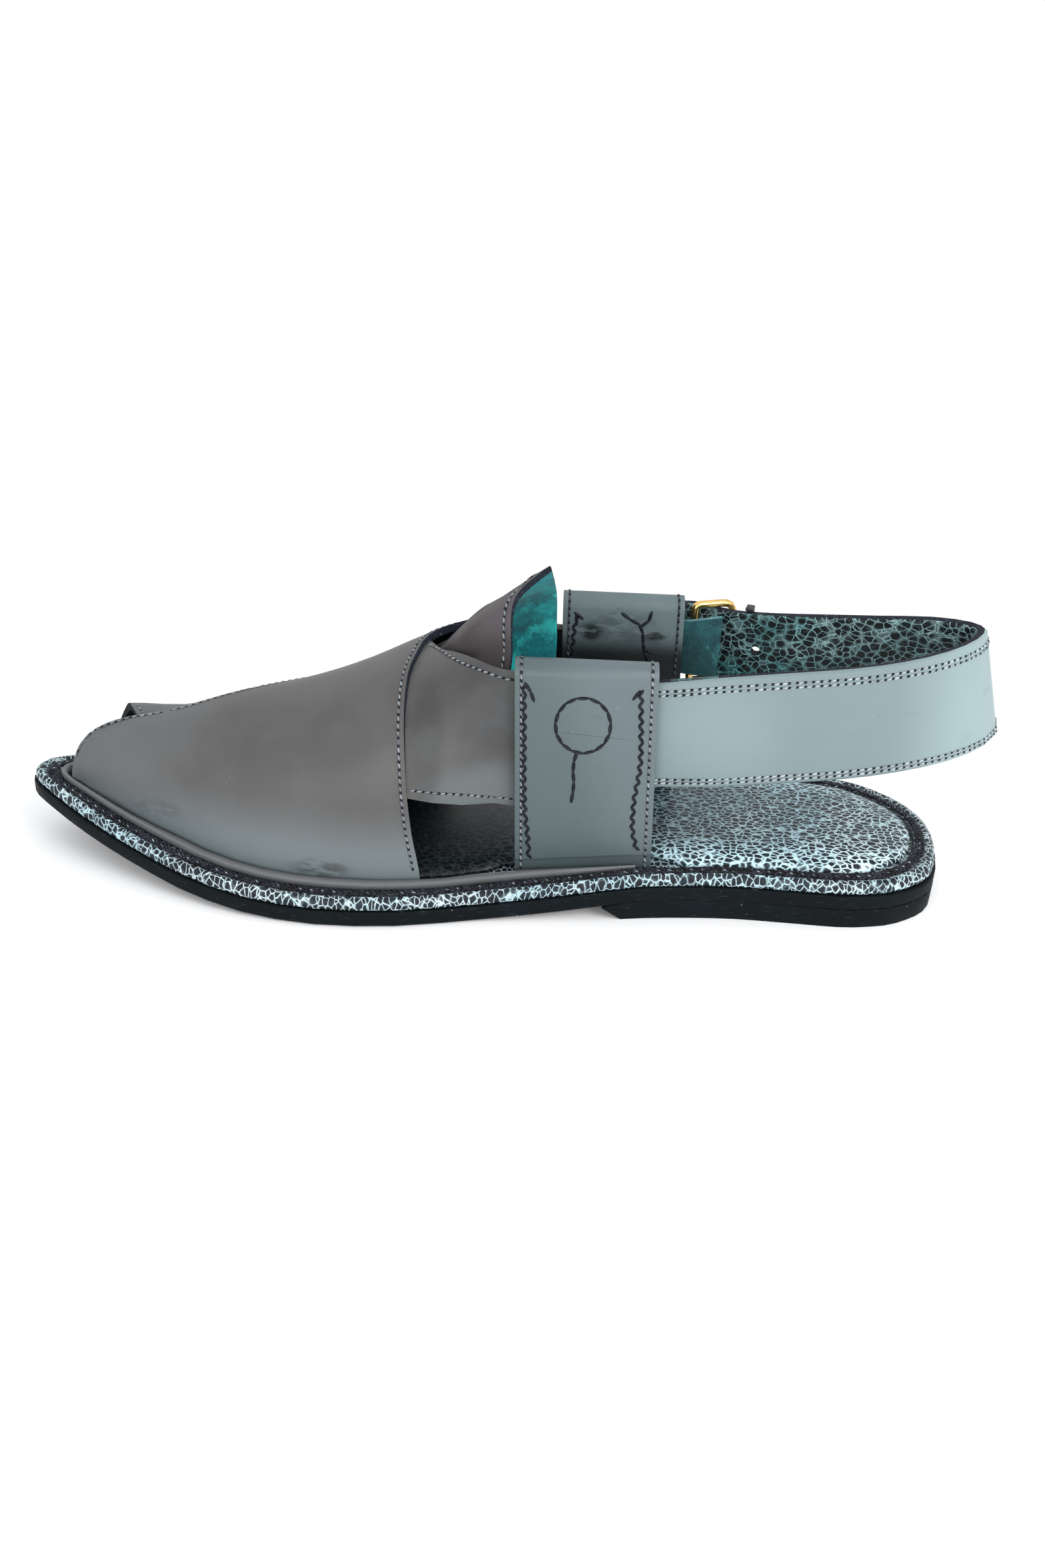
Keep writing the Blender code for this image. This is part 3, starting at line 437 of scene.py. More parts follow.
def copyNode(nodeName, pieceName):
    bpy.ops.object.select_all(action="DESELECT")
    node = nodes[nodeName]
    node.select_set(True)
    bpy.context.view_layer.objects.active = node
    bpy.ops.object.duplicate()
    piece = bpy.context.active_object
    bpy.ops.object.parent_clear(type="CLEAR_KEEP_TRANSFORM")
    piece.name = piece.data.name = pieceName
    del piece["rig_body"], piece["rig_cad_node"]
    bpy.ops.object.mode_set(mode="EDIT")
    bpy.ops.mesh.select_all(action="SELECT")
    bpy.ops.mesh.remove_doubles(threshold=meshing["merge"] * mm)
    bpy.ops.mesh.tris_convert_to_quads(face_threshold=math.radians(meshing["quadTurn"]),
                                       shape_threshold=math.radians(meshing["quadShape"]))
    bpy.ops.mesh.customdata_custom_splitnormals_clear()
    bpy.ops.object.mode_set(mode="OBJECT")
    return piece


def onlySelect(piece):
    bpy.ops.object.select_all(action="DESELECT")
    piece.select_set(True)
    bpy.context.view_layer.objects.active = piece


def applyModifier(piece, kind, **settings):
    onlySelect(piece)
    modifier = piece.modifiers.new(kind.lower(), kind)
    for name, value in settings.items():
        setattr(modifier, name, value)
    bpy.ops.object.modifier_apply(modifier=modifier.name)


def everywhere(centre, normal, wall):
    return 0


def paintZones(piece, zoneOf, looks):  # zoneOf gives a face's material slot
    piece.data.materials.clear()
    for look in looks:
        piece.data.materials.append(finishes[look])
    shape = bmesh.new()
    shape.from_mesh(piece.data)
    tree = BVHTree.FromBMesh(shape)
    for face in shape.faces:
        centre = face.calc_center_median()
        wall = tree.ray_cast(centre - face.normal * 0.02 * mm, -face.normal)[3]  # thickness there
        face.material_index = zoneOf(centre, face.normal, wall or 1.0)
    shape.to_mesh(piece.data)
    shape.free()


def narrowFaces(piece, angle):  # faces with a sharp edge on both long sides
    shape = bmesh.new()
    shape.from_mesh(piece.data)
    sharp = {edge for edge in shape.edges
             if len(edge.link_faces) == 2 and edge.calc_face_angle() > math.radians(angle)}
    found = set()
    for face in shape.faces:
        edges = list(face.edges)
        half = len(edges) // 2
        if any(edges[k] in sharp and edges[k + half] in sharp for k in range(half)):
            found.add(face.index)
    shape.free()
    return found


def strapZone(most, middle):  # a cut edge has more than most mm of leather behind it
    def zoneOf(centre, normal, wall):
        if wall > most * mm:
            return edgeZone
        return outerZone if normal.dot(centre - middle(centre)) > 0 else liningZone
    return zoneOf


def finishPiece(piece, nodeName, bevel=0.35):
    if bevel:
        applyModifier(piece, "BEVEL", width=bevel * mm, segments=2, limit_method="ANGLE",
                      angle_limit=math.radians(meshing["bevelAngle"]), harden_normals=False)
    onlySelect(piece)
    bpy.ops.object.shade_smooth_by_angle(angle=math.radians(meshing["smoothAngle"]))
    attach(piece, "root")
    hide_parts(nodeName)


stitchKit = {  # a pit is length, width and height, and pitAt is how far it sits along from its stitch
    "machine": {
        "pitch": 2.42, "length": 1.85, "thick": 0.6, "lift": 0.13, "slant": 11,
        "pit": (1.45, 0.88, 0.36), "pitAt": 1.2,
    },
    "hand": {
        "pitch": 3.7, "length": 4.2, "thick": 0.78, "lift": 0.1, "slant": 0,
        "pit": (4.2, 1.15, 0.12), "pitAt": 0,
    },
    "scallop": {
        "pitch": 3.5, "length": 2.6, "thick": 0.7, "lift": 0.1, "slant": 0,
        "pit": (2.8, 1.05, 0.12), "pitAt": 0,
    },
}


def bead(name, length, width, height, around=8, rings=6):  # one rounded stitch, lying along X
    bpy.ops.object.select_all(action="DESELECT")
    bpy.ops.mesh.primitive_uv_sphere_add(segments=around, ring_count=rings, radius=0.5, enter_editmode=True)
    bpy.ops.transform.rotate(value=math.pi / 2, orient_axis="Y", center_override=(0, 0, 0))
    bpy.ops.transform.resize(value=(length * mm, width * mm, height * mm), center_override=(0, 0, 0))
    bpy.ops.object.mode_set(mode="OBJECT")
    made = bpy.context.active_object
    made.name = name
    bpy.ops.object.shade_smooth()
    return made


def layCopies(name, pattern, places, look):  # a row of copies of the pattern, as one piece
    points = [vertex.co.copy() for vertex in pattern.data.vertices]
    loops = [list(face.vertices) for face in pattern.data.polygons]
    corners, faces = [], []
    for place in places:
        start = len(corners)
        corners += [place @ point for point in points]
        faces += [[start + corner for corner in loop] for loop in loops]
    mesh = bpy.data.meshes.new(name)
    mesh.from_pydata(corners, [], faces)
    mesh.materials.append(finishes[look])
    piece = bpy.data.objects.new(name, mesh)
    bpy.context.scene.collection.objects.link(piece)
    bpy.data.objects.remove(pattern)
    onlySelect(piece)
    bpy.ops.object.shade_smooth()
    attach(piece, "root")


def outerTree(piece, zones=(outerZone,)):  # for finding the nearest place on those faces
    mesh = piece.data
    corners = [vertex.co.copy() for vertex in mesh.vertices]
    faces = [list(face.vertices) for face in mesh.polygons if face.material_index in zones]
    return BVHTree.FromPolygons(corners, faces)


def resample(points, pitch, closed=False):  # even steps of about the pitch
    if closed:
        points = points + [points[0]]
    lengths = [0.0]
    for first, second in zip(points, points[1:]):
        lengths.append(lengths[-1] + (second - first).length)
    count = max(1, round(lengths[-1] / pitch))
    result, index = [], 0
    for step in range(count if closed else count + 1):
        target = lengths[-1] * step / count
        while index < len(points) - 2 and lengths[index + 1] < target:
            index += 1
        span = lengths[index + 1] - lengths[index]
        share = (target - lengths[index]) / span if span else 0.0
        result.append(points[index].lerp(points[index + 1], share))
    return result


def spline(points, pitch, closed=False):  # a smooth path through a few points
    count = len(points)
    dense = []
    for index in range(count if closed else count - 1):
        p = [points[(index + k) % count] if closed else points[min(max(index + k, 0), count - 1)]
             for k in (-1, 0, 1, 2)]
        for step in range(8):
            t = step / 8
            bend = (2 * p[0] - 5 * p[1] + 4 * p[2] - p[3]) * t ** 2
            twist = (3 * p[1] - p[0] - 3 * p[2] + p[3]) * t ** 3
            dense.append(0.5 * (2 * p[1] + (p[2] - p[0]) * t + bend + twist))
    if not closed:
        dense.append(points[-1])
    return resample(dense, pitch, closed)


def placesAlong(path, tree, lift, turn=0.0, closed=False):  # a frame on the surface at each step's middle
    places = []
    for first, second in zip(path, path[1:] + ([path[0]] if closed else [])):
        hit, normal, _, _ = tree.find_nearest((first + second) / 2)
        if hit is None:
            continue
        along = (second - first).normalized()
        along = (along - normal * along.dot(normal)).normalized()
        swing = math.radians(turn)
        forward = along * math.cos(swing) + normal.cross(along) * math.sin(swing)
        places.append(Matrix((forward, normal.cross(forward), normal)).transposed().to_4x4())
        places[-1].translation = hit + normal * lift * mm
    return places


def freeEdges(piece):  # chains of (place, inward) along the outer side's cut edges
    shape = bmesh.new()
    shape.from_mesh(piece.data)
    links, inwards, places = {}, {}, {}
    for edge in shape.edges:
        if len(edge.link_faces) != 2 or not edge.is_convex:
            continue
        side, cut = sorted(edge.link_faces, key=lambda face: face.material_index)
        if side.material_index != outerZone or cut.material_index != edgeZone:
            continue
        if side.normal.dot(cut.normal) > 0.93:  # not a real corner
            continue
        inward = -(cut.normal - side.normal * cut.normal.dot(side.normal)).normalized()
        for vertex in edge.verts:
            links.setdefault(vertex.index, []).append(edge.other_vert(vertex).index)
            inwards[vertex.index] = inwards.get(vertex.index, Vector()) + inward
            places[vertex.index] = vertex.co.copy()
    shape.free()
    chains, used = [], set()
    starts = [index for index in links if len(links[index]) == 1] + list(links)
    for start in starts:
        if start in used:
            continue
        chain, spot = [start], start
        used.add(start)
        while True:
            following = [index for index in links[spot] if index not in used]
            if not following:
                break
            spot = following[0]
            used.add(spot)
            chain.append(spot)
        closed = len(chain) > 3 and chain[0] in links[chain[-1]]
        if closed:
            chain.append(chain[0])
        chains.append([(places[index], inwards[index].normalized()) for index in chain])
    return chains


def walkIn(tree, spot, rail, inset):  # over the surface, inset millimetres away from the edge
    for _ in range(meshing["walkSteps"]):
        hit, normal, _, _ = tree.find_nearest(spot)
        rail = (rail - normal * rail.dot(normal)).normalized()
        spot = hit + rail * inset * mm / meshing["walkSteps"]
    return tree.find_nearest(spot)[0]


def inwardRails(chain, count):  # the inward direction at even steps, blended between the chain's corners
    walk = [0.0]
    for (first, _), (second, _) in zip(chain, chain[1:]):
        walk.append(walk[-1] + (second - first).length)
    rails = []
    for number in range(count):
        reach = walk[-1] * number / (count - 1)
        index = max(k for k in range(len(walk)) if walk[k] <= reach + 1e-9)
        index = min(index, len(chain) - 2)
        share = (reach - walk[index]) / max(walk[index + 1] - walk[index], 1e-9)
        rails.append(chain[index][1].lerp(chain[index + 1][1], share))
    return rails


def eased(row):  # each vector drawn towards its neighbours
    last = len(row) - 1
    return [(row[max(k - 1, 0)] + row[k] * 2 + row[min(k + 1, last)]) / 4 for k in range(len(row))]


def seamPlaces(piece, inset, keep):  # machine stitches inset mm from the cut edges, where keep says so
    kit = stitchKit["machine"]
    tree, result = outerTree(piece), []
    for chain in freeEdges(piece):
        spots = resample([place for place, _ in chain], meshing["seamStep"] * mm)
        if len(spots) < 6:
            continue
        rails = inwardRails(chain, len(spots))
        for _ in range(meshing["seamSmooth"]):
            rails, spots = eased(rails), eased(spots)
        run, runs = [], []
        for spot, rail in zip(spots, rails):
            hit = walkIn(tree, spot, rail.normalized(), inset)
            clear = min((hit - other).length for other in spots) > inset * 0.75 * mm
            if clear and keep(spot / mm, rail.normalized()):
                run.append(hit)
            elif run:
                runs.append(run)
                run = []
        runs.append(run)
        for run in runs:
            if len(run) > 5:
                result += placesAlong(resample(run, kit["pitch"] * mm), tree, kit["lift"])
    return result


def sew(name, places, kind="machine", look="thread"):  # the thread, and the pits it sits in
    kit = stitchKit[kind]
    under = Matrix.Translation((kit["pitAt"] * mm, 0, -kit["lift"] * mm))
    layCopies(name + "Pits", bead("pit", *kit["pit"]), [place @ under for place in places], "pit")
    slant = Matrix.Rotation(math.radians(kit["slant"]), 4, "Z")
    pattern = bead("stitch", kit["length"], kit["thick"], kit["thick"])
    layCopies(name, pattern, [place @ slant for place in places], look)


upperKit = {"wall": 5.6, "heart": 15, "inset": 1.75, "lowest": 14, "footTop": 26, "rowGap": 2.2}
upper = copyNode("upper", "crossedStraps")
paintZones(upper, strapZone(upperKit["wall"], lambda spot: Vector((spot.x, 0.0, upperKit["heart"] * mm))),
           ("strap", "lining", "navyEdge"))


def onStrapEdge(spot, rail):  # not along the foot of the straps
    return spot.z > upperKit["lowest"] and not (rail.z > 0.75 and spot.z < upperKit["footTop"])


upperSeam = seamPlaces(upper, upperKit["inset"], onStrapEdge)


tongueKit = {
    "crestLift": 2.2, "crestAt": 0.0, "crestReach": 13.0, "crestFrom": 70, "crestRise": 12,
    "heart": (20, 1, 45), "sharp": 48, "crease": 0.85, "inset": 2.3, "seamLowest": 72, "seamFront": -10,
}
tongue = copyNode("tongue", "peakedTongue")
for vertex in tongue.data.vertices:  # the crest rises in a straight line to the peak
    share = (vertex.co.x / mm - tongueKit["crestAt"]) / tongueKit["crestReach"]
    above = (vertex.co.z / mm - tongueKit["crestFrom"]) / tongueKit["crestRise"]
    if abs(share) < 1 and above > 0:
        vertex.co.z += tongueKit["crestLift"] * mm * math.cos(share * math.pi / 2) ** 2 * min(above, 1)
onlySelect(tongue)
bpy.ops.object.mode_set(mode="EDIT")
bpy.ops.mesh.select_all(action="DESELECT")
bpy.ops.mesh.select_mode(type="EDGE")
bpy.ops.mesh.edges_select_sharp(sharpness=math.radians(tongueKit["sharp"]))
bpy.ops.transform.edge_crease(value=tongueKit["crease"])
bpy.ops.object.mode_set(mode="OBJECT")


def tongueZone(centre, normal, wall):
    back, side, height = tongueKit["heart"]
    away = centre - Vector((centre.x + back * mm, side * mm, height * mm))
    return outerZone if normal.dot(away) > 0 else liningZone


narrow = narrowFaces(tongue, tongueKit["sharp"])
paintZones(tongue, tongueZone, ("tongue", "teal", "navyEdge"))
for face in tongue.data.polygons:
    if face.index in narrow:
        face.material_index = edgeZone
tongueSeam = seamPlaces(
    tongue, tongueKit["inset"],
    lambda spot, rail: spot.z > tongueKit["seamLowest"] and spot.x > tongueKit["seamFront"])
applyModifier(tongue, "SUBSURF", levels=2, render_levels=2)


slingKit = {
    "wall": 6.5, "bendAt": 100, "centreLine": 2, "halfWall": 1.8,
    "rows": ((2.7, 1), (4.1, 1), (1.75, -1), (2.95, -1)),  # inset from the top edge, 1, or the bottom, -1
    "path": [  # the middle line: x, y, height, width, lean in degrees
        (34.6, -26.6, 58.2, 35.3, 0), (47.6, -26.6, 59.4, 35.5, 0), (61.6, -27.3, 61, 35.5, 5),
        (81.6, -27.6, 63.5, 35, 8), (101.6, -26.6, 65.5, 34.6, 10), (117.6, -23.8, 67.2, 34.5, 11),
        (132.6, -18, 68.6, 34.5, 13), (144.6, -9, 69.6, 34.5, 15), (149.6, 1, 69.8, 34.5, 15),
        (145.6, 10, 69.3, 34, 13), (133.6, 16, 68.5, 33, 11), (116.6, 19, 67.5, 31, 9),
        (99.6, 21.8, 66.8, 28.5, 6), (85.6, 24.6, 66.3, 26, 3), (76.6, 27, 66.1, 24.4, 0),
        (66.6, 31, 66, 24, 0), (57.6, 35, 66, 24, 0), (49.6, 34.6, 66, 24, 0),
        (39.6, 32.9, 65.8, 24, 0), (29.6, 32.8, 65.5, 23, 0),
    ],
}
sling = copyNode("heel_sling", "heelSling")
slingMiddle = slingKit["path"]


def insideSling(spot):  # a place on the foot's middle line, which the lining faces
    return Vector((min(spot.x, slingKit["bendAt"] * mm), slingKit["centreLine"] * mm, spot.z))


paintZones(sling, strapZone(slingKit["wall"], insideSling), ("sling", "slingLining", "navyEdge"))
slingSeam, slingTree = [], outerTree(sling)
for inset, side in slingKit["rows"]:
    row = []
    for number, (x, y, height, width, lean) in enumerate(slingMiddle):
        before = slingMiddle[max(number - 1, 0)]
        after = slingMiddle[min(number + 1, len(slingMiddle) - 1)]
        outward = Vector((after[1] - before[1], before[0] - after[0], 0)).normalized()
        reach = side * (width / 2 - inset)
        rise = math.cos(math.radians(lean)) * reach
        swing = -math.sin(math.radians(lean)) * reach
        row.append((Vector((x, y, height + rise)) + outward * (swing + slingKit["halfWall"])) * mm)
    path = spline(row, stitchKit["machine"]["pitch"] * mm)
    slingSeam += placesAlong(path, slingTree, stitchKit["machine"]["lift"])


nearRows = {  # drawn on the near side: the front strap's lap at the toe, and the rear strap's edges
    "toeLap": [(-140.7, -5.0, 30.6), (-139.5, -4.2, 33.1), (-137.0, -2.6, 37.1), (-132.2, -2.8, 40.8),
               (-126.8, -2.2, 42.9), (-121.6, -1.0, 44.4), (-116.8, -0.5, 45.3), (-112.8, 0.1, 46.0)],
    "rearLower": [(-29.9, -35.3, 40.8), (-22.3, -34.9, 40.0), (-12.2, -32.4, 38.4), (-5.1, -29.3, 36.3),
                  (1.3, -28.3, 35.4)],
    "rearUpper": [(-26.6, 2.9, 72.5), (-17.2, -14.6, 75.5), (-8.5, -23.3, 76.1), (0.3, -27.5, 75.6)],
}
upperTree = outerTree(upper)
for row in nearRows.values():
    path = spline([Vector(spot) * mm for spot in row], stitchKit["machine"]["pitch"] * mm)
    upperSeam = [place for place in upperSeam
                 if min((place.translation - spot).length for spot in path) > upperKit["rowGap"] * mm]
    upperSeam += placesAlong(path, upperTree, stitchKit["machine"]["lift"])


tabKit = {"middles": (-26.6, 25.9), "inset": 1.9, "seamLowest": 12}


def tabZone(centre, normal, wall):
    if abs(normal.y) < 0.7:
        return edgeZone if abs(normal.x) > 0.5 else outerZone  # the top is a fold
    middle = tabKit["middles"][0 if centre.y < 0 else 1] * mm
    outside = (centre.y - middle) * normal.y > 0
    return outerZone if outside else liningZone


tabs = {}
for side in ("medial", "lateral"):
    tab = copyNode("tab_" + side, side + "Tab")
    paintZones(tab, tabZone, ("tab" if side == "medial" else "farTab", "lining", "tabEdge"))
    tabs[side] = tab
tabSeams = {}
for side, tab in tabs.items():
    tabSeams[side] = seamPlaces(
        tab, tabKit["inset"], lambda spot, rail: abs(rail.x) > 0.8 and spot.z > tabKit["seamLowest"])

sew("strapStitches", upperSeam)
sew("tongueStitches", tongueSeam)
sew("slingStitches", slingSeam, look="paleThread")
for side in tabs:
    # painted shade: the far tab's stitches take a darker copy of the grey thread
    look = "thread" if side == "medial" else "dimThread"
    sew(side + "TabStitches", tabSeams[side], look=look)
print("machine stitches:", len(upperSeam), len(tongueSeam), len(slingSeam),
      [len(row) for row in tabSeams.values()])



# hand-sewn ornament: (along the shoe, height) in mm, drawn on the near tab's outer face
ornament = {
    "ring": [(22.7, 53.7), (19.5, 54.3), (16.6, 56.2), (14.6, 59.2), (13.8, 62.7), (14.3, 66.3), (15.9, 69.4),
             (18.5, 71.5), (21.7, 72.4), (24.9, 71.8), (27.7, 70.0), (29.7, 67.1), (30.5, 63.5), (30.1, 59.9),
             (28.5, 56.8), (25.9, 54.6)],
    "stem": [(20.9, 54.3), (19.9, 49.2), (20.5, 42.8), (20.0, 36.6)],
    "frontHook": [(4.3, 76.3), (5.9, 73.8), (7.1, 70.6)],
    "rearHook": [(38.8, 76.0), (37.2, 74.2), (36.1, 71.8)],
}
scallops = {
    "front": [(4.6, 75.8), (4.9, 68.7), (5.4, 55.3), (5.9, 41.6), (6.5, 32.2), (7.6, 25.0), (8.4, 16.1)],
    "rear": [(39.3, 75.6), (39.8, 68.2), (40.5, 59.3), (40.9, 50.2), (40.4, 43.3), (39.9, 38.6), (40.0, 29.1),
             (41.0, 23.8), (42.2, 20.5)],
}
# the same kind of work on the far tab's inner leaf
farOrnament = {
    "hook": [(21.5, 76.2), (20.7, 78.2), (19.9, 77.9), (20.3, 73.5)],
    "arm": [(34.6, 78.4), (38.5, 75.6), (41.4, 74.1), (42.2, 70.0), (42.7, 65.6), (44.7, 61.5)],
    "fork": [(44.3, 79.1), (43.5, 75.8), (41.4, 74.1)],
    "twig": [(42.7, 66.0), (46.4, 64.6)],
}
farScallops = [(20.3, 74.5), (20.0, 68.3), (20.1, 60.7)]
ornamentKit = {
    "nearOuter": -32, "farInner": 20, "farOuter": 33,  # how far sideways the drawings start from
    "shift": (14.2, 1),  # the far tab's outer face carries the near tab's pattern, set back and higher
    "scallopsFrom": 36,
    "bulge": 1.25,  # how far each scallop swings out
    "uneven": 0.08,
}


def handRow(tree, points, depth, closed=False):
    kit = stitchKit["hand"]
    path = spline([Vector((x, depth, z)) * mm for x, z in points], kit["pitch"] * mm, closed)
    return placesAlong(path, tree, kit["lift"], closed=closed)


def scallopRow(tree, points, depth):  # two slanted stitches for each scallop, like the side of a saw
    kit = stitchKit["scallop"]
    cusps = spline([Vector((x, depth, z)) * mm for x, z in points], kit["pitch"] * mm)
    swing = Vector((-ornamentKit["bulge"] * mm, 0, 0))
    zigzag = [cusps[0]]
    for first, second in zip(cusps, cusps[1:]):
        share = 0.5 + random.uniform(-ornamentKit["uneven"], ornamentKit["uneven"])
        zigzag += [first.lerp(second, share) + swing, second]
    return placesAlong(zigzag, tree, kit["lift"])


def setBack(points):
    return [(x + ornamentKit["shift"][0], z + ornamentKit["shift"][1]) for x, z in points]


hand, saw = {"medial": [], "lateral": []}, {"medial": [], "lateral": []}
medialTree, lateralTree = outerTree(tabs["medial"]), outerTree(tabs["lateral"])
nearOuter, farInner, farOuter = ornamentKit["nearOuter"], ornamentKit["farInner"], ornamentKit["farOuter"]
for points in scallops.values():
    saw["medial"] += scallopRow(medialTree, points, nearOuter)
saw["lateral"] += scallopRow(lateralTree, farScallops, farInner)
for points in farOrnament.values():
    hand["lateral"] += handRow(lateralTree, points, farInner)
for name, points in ornament.items():
    hand["medial"] += handRow(medialTree, points, nearOuter, name == "ring")
    hand["lateral"] += handRow(lateralTree, setBack(points), farOuter, name == "ring")
for points in scallops.values():
    upperPart = [(x, z) for x, z in points if z > ornamentKit["scallopsFrom"]]
    saw["lateral"] += scallopRow(lateralTree, setBack(upperPart), farOuter)
for side in tabs:
    sew(side + "Ornament", hand[side], "hand", "wax")
    sew(side + "Scallops", saw[side], "scallop", "wax")

finishPiece(upper, "upper")
finishPiece(tongue, "tongue", 0.3)
finishPiece(sling, "heel_sling", 0.3)
for side in tabs:
    finishPiece(tabs[side], "tab_" + side, 0.3)
print("straps dressed")


shield = copyNode("buckle_shield", "buckleShield")
paintZones(shield, strapZone(4.0, lambda spot: Vector((spot.x, 0.0, spot.z))),
           ("shield", "shield", "paleEdge"))
finishPiece(shield, "buckle_shield", 0.2)
buckleSmalls = (  # CAD node, piece, slot, finish, bevel
    ("buckle_frame", "buckleFrame", "brass", "brass", 0.3),
    ("buckle_prong", "bucklePin", "brass_prong", "brass", 0.0),
    ("keeper_loop", "keeperLoop", "keeper_leather", "keeper", 0.25),
)
for nodeName, pieceName, slotName, look, bevel in buckleSmalls:
    piece = copyNode(nodeName, pieceName)
    paintZones(piece, everywhere, (look,))
    finishPiece(piece, nodeName, bevel)
print("buckle dressed")


# the corded ridge round the footbed: x, medial y, lateral y and height, from the heel to the toe
ridgeHeel, ridgeToe = (135.3, -2.0, 15.5), (-148.8, -2.0, 24.0)
ridgeSides = [
    (133.1, -14.8, 8.0, 15.5), (126.7, -24.9, 17.4, 15.5), (116.3, -31.2, 25.8, 15.5),
    (102.1, -32.7, 29.3, 15.5), (84.6, -31.9, 30.5, 15.5), (64.3, -32.0, 32.3, 15.5),
    (41.8, -34.4, 35.3, 15.3), (17.9, -36.1, 37.1, 12.3), (-6.7, -38.3, 40.0, 9.6),
    (-31.4, -43.6, 43.1, 9.3), (-55.3, -44.4, 44.2, 9.3),
    (-77.8, -41.0, 42.0, 10.0), (-98.0, -33.8, 35.6, 12.1), (-115.6, -24.7, 26.8, 15.3),
    (-129.8, -16.7, 18.0, 18.7), (-140.2, -10.1, 10.3, 21.5), (-146.6, -5.9, 4.1, 23.3),
]
ridgeRing = [ridgeHeel] + [(x, medial, z) for x, medial, lateral, z in ridgeSides]
ridgeRing += [ridgeToe] + [(x, lateral, z) for x, medial, lateral, z in reversed(ridgeSides)]
ridgePath = spline([Vector(spot) * mm for spot in ridgeRing], 1.0 * mm, True)
cordKit = {
    "pitch": 1.75, "length": 2.5, "thick": 1.15, "flat": 0.8, "lift": 0.15, "groove": 2.5,
    "rows": ((0.0, -32), (1.45, 32)),  # outwards from the ridge, slant of the strands
    "speckPitch": 3.5, "speck": (1.3, 0.42, 0.4), "specksKept": 0.7,
    "speckRows": ((0.75, 0.45, -20), (-0.8, 0.3, 25)),  # outwards from the ridge, lift, slant
}


def offsetPath(path, shift, pitch):  # a closed path moved sideways in plan, outwards where shift is positive
    moved = []
    for index, spot in enumerate(path):
        along = path[(index + 1) % len(path)] - path[index - 1]
        moved.append(spot + Vector((along.y, -along.x, 0)).normalized() * -shift * mm)
    return resample(moved, pitch * mm, True)


def footbedZone(centre, normal, wall):  # the groove's dark ground under the cord
    near = min(math.hypot(centre.x - spot.x, centre.y - spot.y) for spot in ridgePath)
    return 1 if near < cordKit["groove"] * mm and normal.z > 0.1 else 0


def soleZone(centre, normal, wall):  # the tread below, plain rubber at the sides
    return 1 if normal.z < -0.6 else 0


def liftTop(piece, rise):  # closes the glue line under the outsole
    for vertex in piece.data.vertices:
        if vertex.normal.z > 0.3:
            vertex.co.z += rise * mm


solePieces = (  # CAD node, piece, slot, finishes, how faces are told apart, bevel
    ("outsole", "outsoleRubber", "black_rubber", ("outsole", "tread"), soleZone, 0.2),
    ("heel_lift", "heelLift", "lift_rubber", ("outsole", "tread"), soleZone, 0.2),
    ("rand", "randRoll", "rand_leather", ("rand",), everywhere, 0.3),
    ("footbed", "footbedRim", "crackle_rim", ("rim", "cordBase"), footbedZone, 0.0),
    ("insole", "crackleInsole", "crackle_pad", ("pad",), everywhere, 0.4),
)
sole = {}
for nodeName, pieceName, slotName, looks, zoneOf, bevel in solePieces:
    sole[nodeName] = copyNode(nodeName, pieceName)
    paintZones(sole[nodeName], zoneOf, looks)
liftTop(sole["heel_lift"], 0.9)
bedTree = outerTree(sole["footbed"], (0, 1))
for nodeName, pieceName, slotName, looks, zoneOf, bevel in solePieces:
    finishPiece(sole[nodeName], nodeName, bevel)

cordPlaces, speckPlaces = [], []
for shift, slant in cordKit["rows"]:
    path = offsetPath(ridgePath, shift, cordKit["pitch"])
    cordPlaces += placesAlong(path, bedTree, cordKit["lift"], slant, closed=True)
for shift, lift, slant in cordKit["speckRows"]:
    path = offsetPath(ridgePath, shift, cordKit["speckPitch"])
    speckPlaces += placesAlong(path, bedTree, lift, slant, closed=True)
speckPlaces = [place for place in speckPlaces if random.random() < cordKit["specksKept"]]
strand = bead("strand", cordKit["length"], cordKit["thick"], cordKit["thick"] * cordKit["flat"])
layCopies("rimCord", strand, cordPlaces, "cord")
layCopies("rimSpecks", bead("speck", *cordKit["speck"], 6, 5), speckPlaces, "speck")
print("sole dressed, cord strands:", len(cordPlaces))


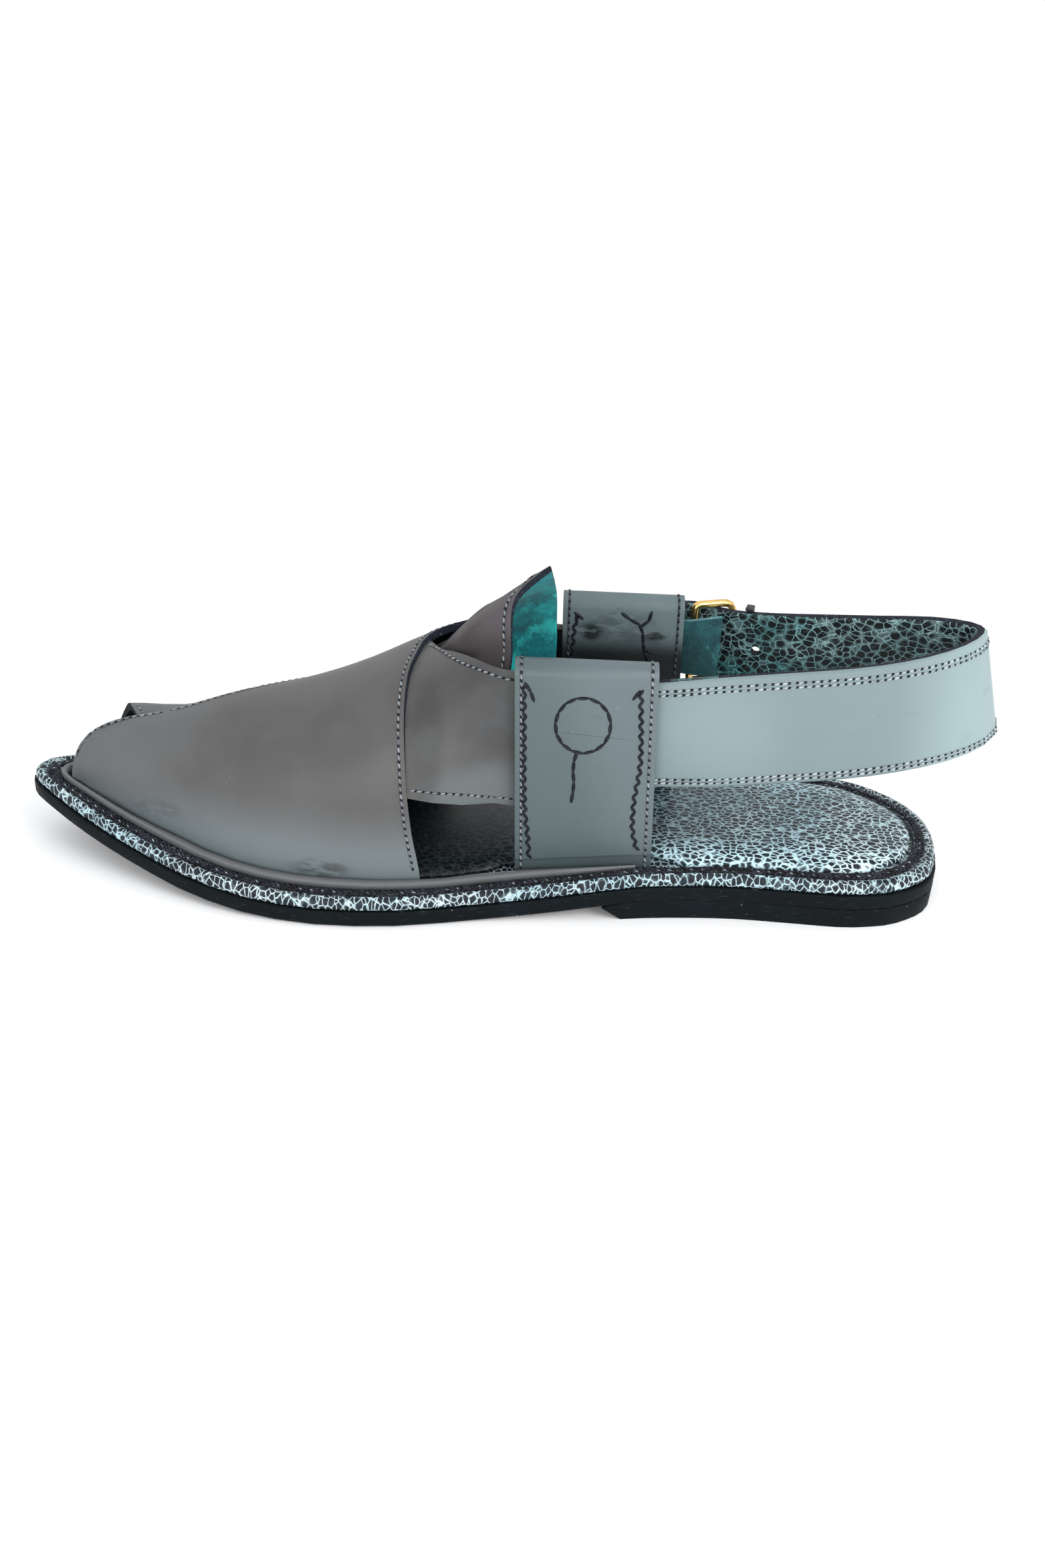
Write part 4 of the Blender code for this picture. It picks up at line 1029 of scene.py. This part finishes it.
studio = {  # lengths in mm, angles in degrees, but the floor's size in metres
    "target": (4.8, -14.0, 33.0),
    "distance": 486.0,
    "elevation": 28.75,
    "roll": 2.5,
    "lens": 35.0,
    "sensor": 36.0,
    "floorSize": 60.0,
    "sky": (0.97, 0.985, 1.0, 1.0),
    "skyStrength": 1.1,
}
bpy.ops.mesh.primitive_plane_add(size=studio["floorSize"], location=(0, 0, 0))
floor = bpy.context.active_object
floor.name = "floor"
finish, shader, place = startFinish("paleFloor")
base = place.noise(9, 3).step(0.3, 0.75).pick((0.93, 0.93, 0.935), (0.95, 0.945, 0.945))
floor.data.materials.append(endFinish(finish, shader, base, 0.9, place.noise(500, 3), 0.0001, 0.3))

world = bpy.data.worlds.new("studio")
bpy.context.scene.world = world
world.use_nodes = True
background = world.node_tree.nodes["Background"]
background.inputs["Color"].default_value = studio["sky"]
background.inputs["Strength"].default_value = studio["skyStrength"]
bpy.context.scene.view_settings.view_transform = "Standard"

lamps = {  # name: (place, aimed at, width, height, watts, colour), all in metres
    "window": ((0.50, -0.50, 0.50), (0.10, 0.0, 0.05), 0.5, 0.5, 3.6, (1.0, 1.0, 1.0)),
    "front": ((-0.25, -0.95, 0.30), (0.0, 0.0, 0.04), 0.9, 0.4, 3.0, (1.0, 0.99, 0.98)),
}
for name, (spot, aim, width, height, watts, shade) in lamps.items():
    lamp = bpy.data.lights.new(name, "AREA")
    lamp.shape = "RECTANGLE"
    lamp.size, lamp.size_y = width, height
    lamp.energy, lamp.color = watts, shade
    holder = bpy.data.objects.new(name, lamp)
    bpy.context.scene.collection.objects.link(holder)
    holder.location = spot
    holder.rotation_euler = (Vector(aim) - Vector(spot)).to_track_quat("-Z", "Y").to_euler()

tilt, roll = math.radians(studio["elevation"]), math.radians(studio["roll"])
back = Vector((0, -math.cos(tilt), math.sin(tilt)))
right = (-back).cross(Vector((0, 0, 1))).normalized()
above = right.cross(-back)
lens = bpy.data.cameras.new("camera")
lens.lens, lens.sensor_width, lens.clip_start = studio["lens"], studio["sensor"], 0.01
camera = bpy.data.objects.new("camera", lens)
bpy.context.scene.collection.objects.link(camera)
pose = Matrix((right * math.cos(roll) + above * math.sin(roll),
               above * math.cos(roll) - right * math.sin(roll), back)).transposed().to_4x4()
pose.translation = (Vector(studio["target"]) + back * studio["distance"]) * mm
camera.matrix_world = pose
bpy.context.scene.camera = camera
print("stage set")
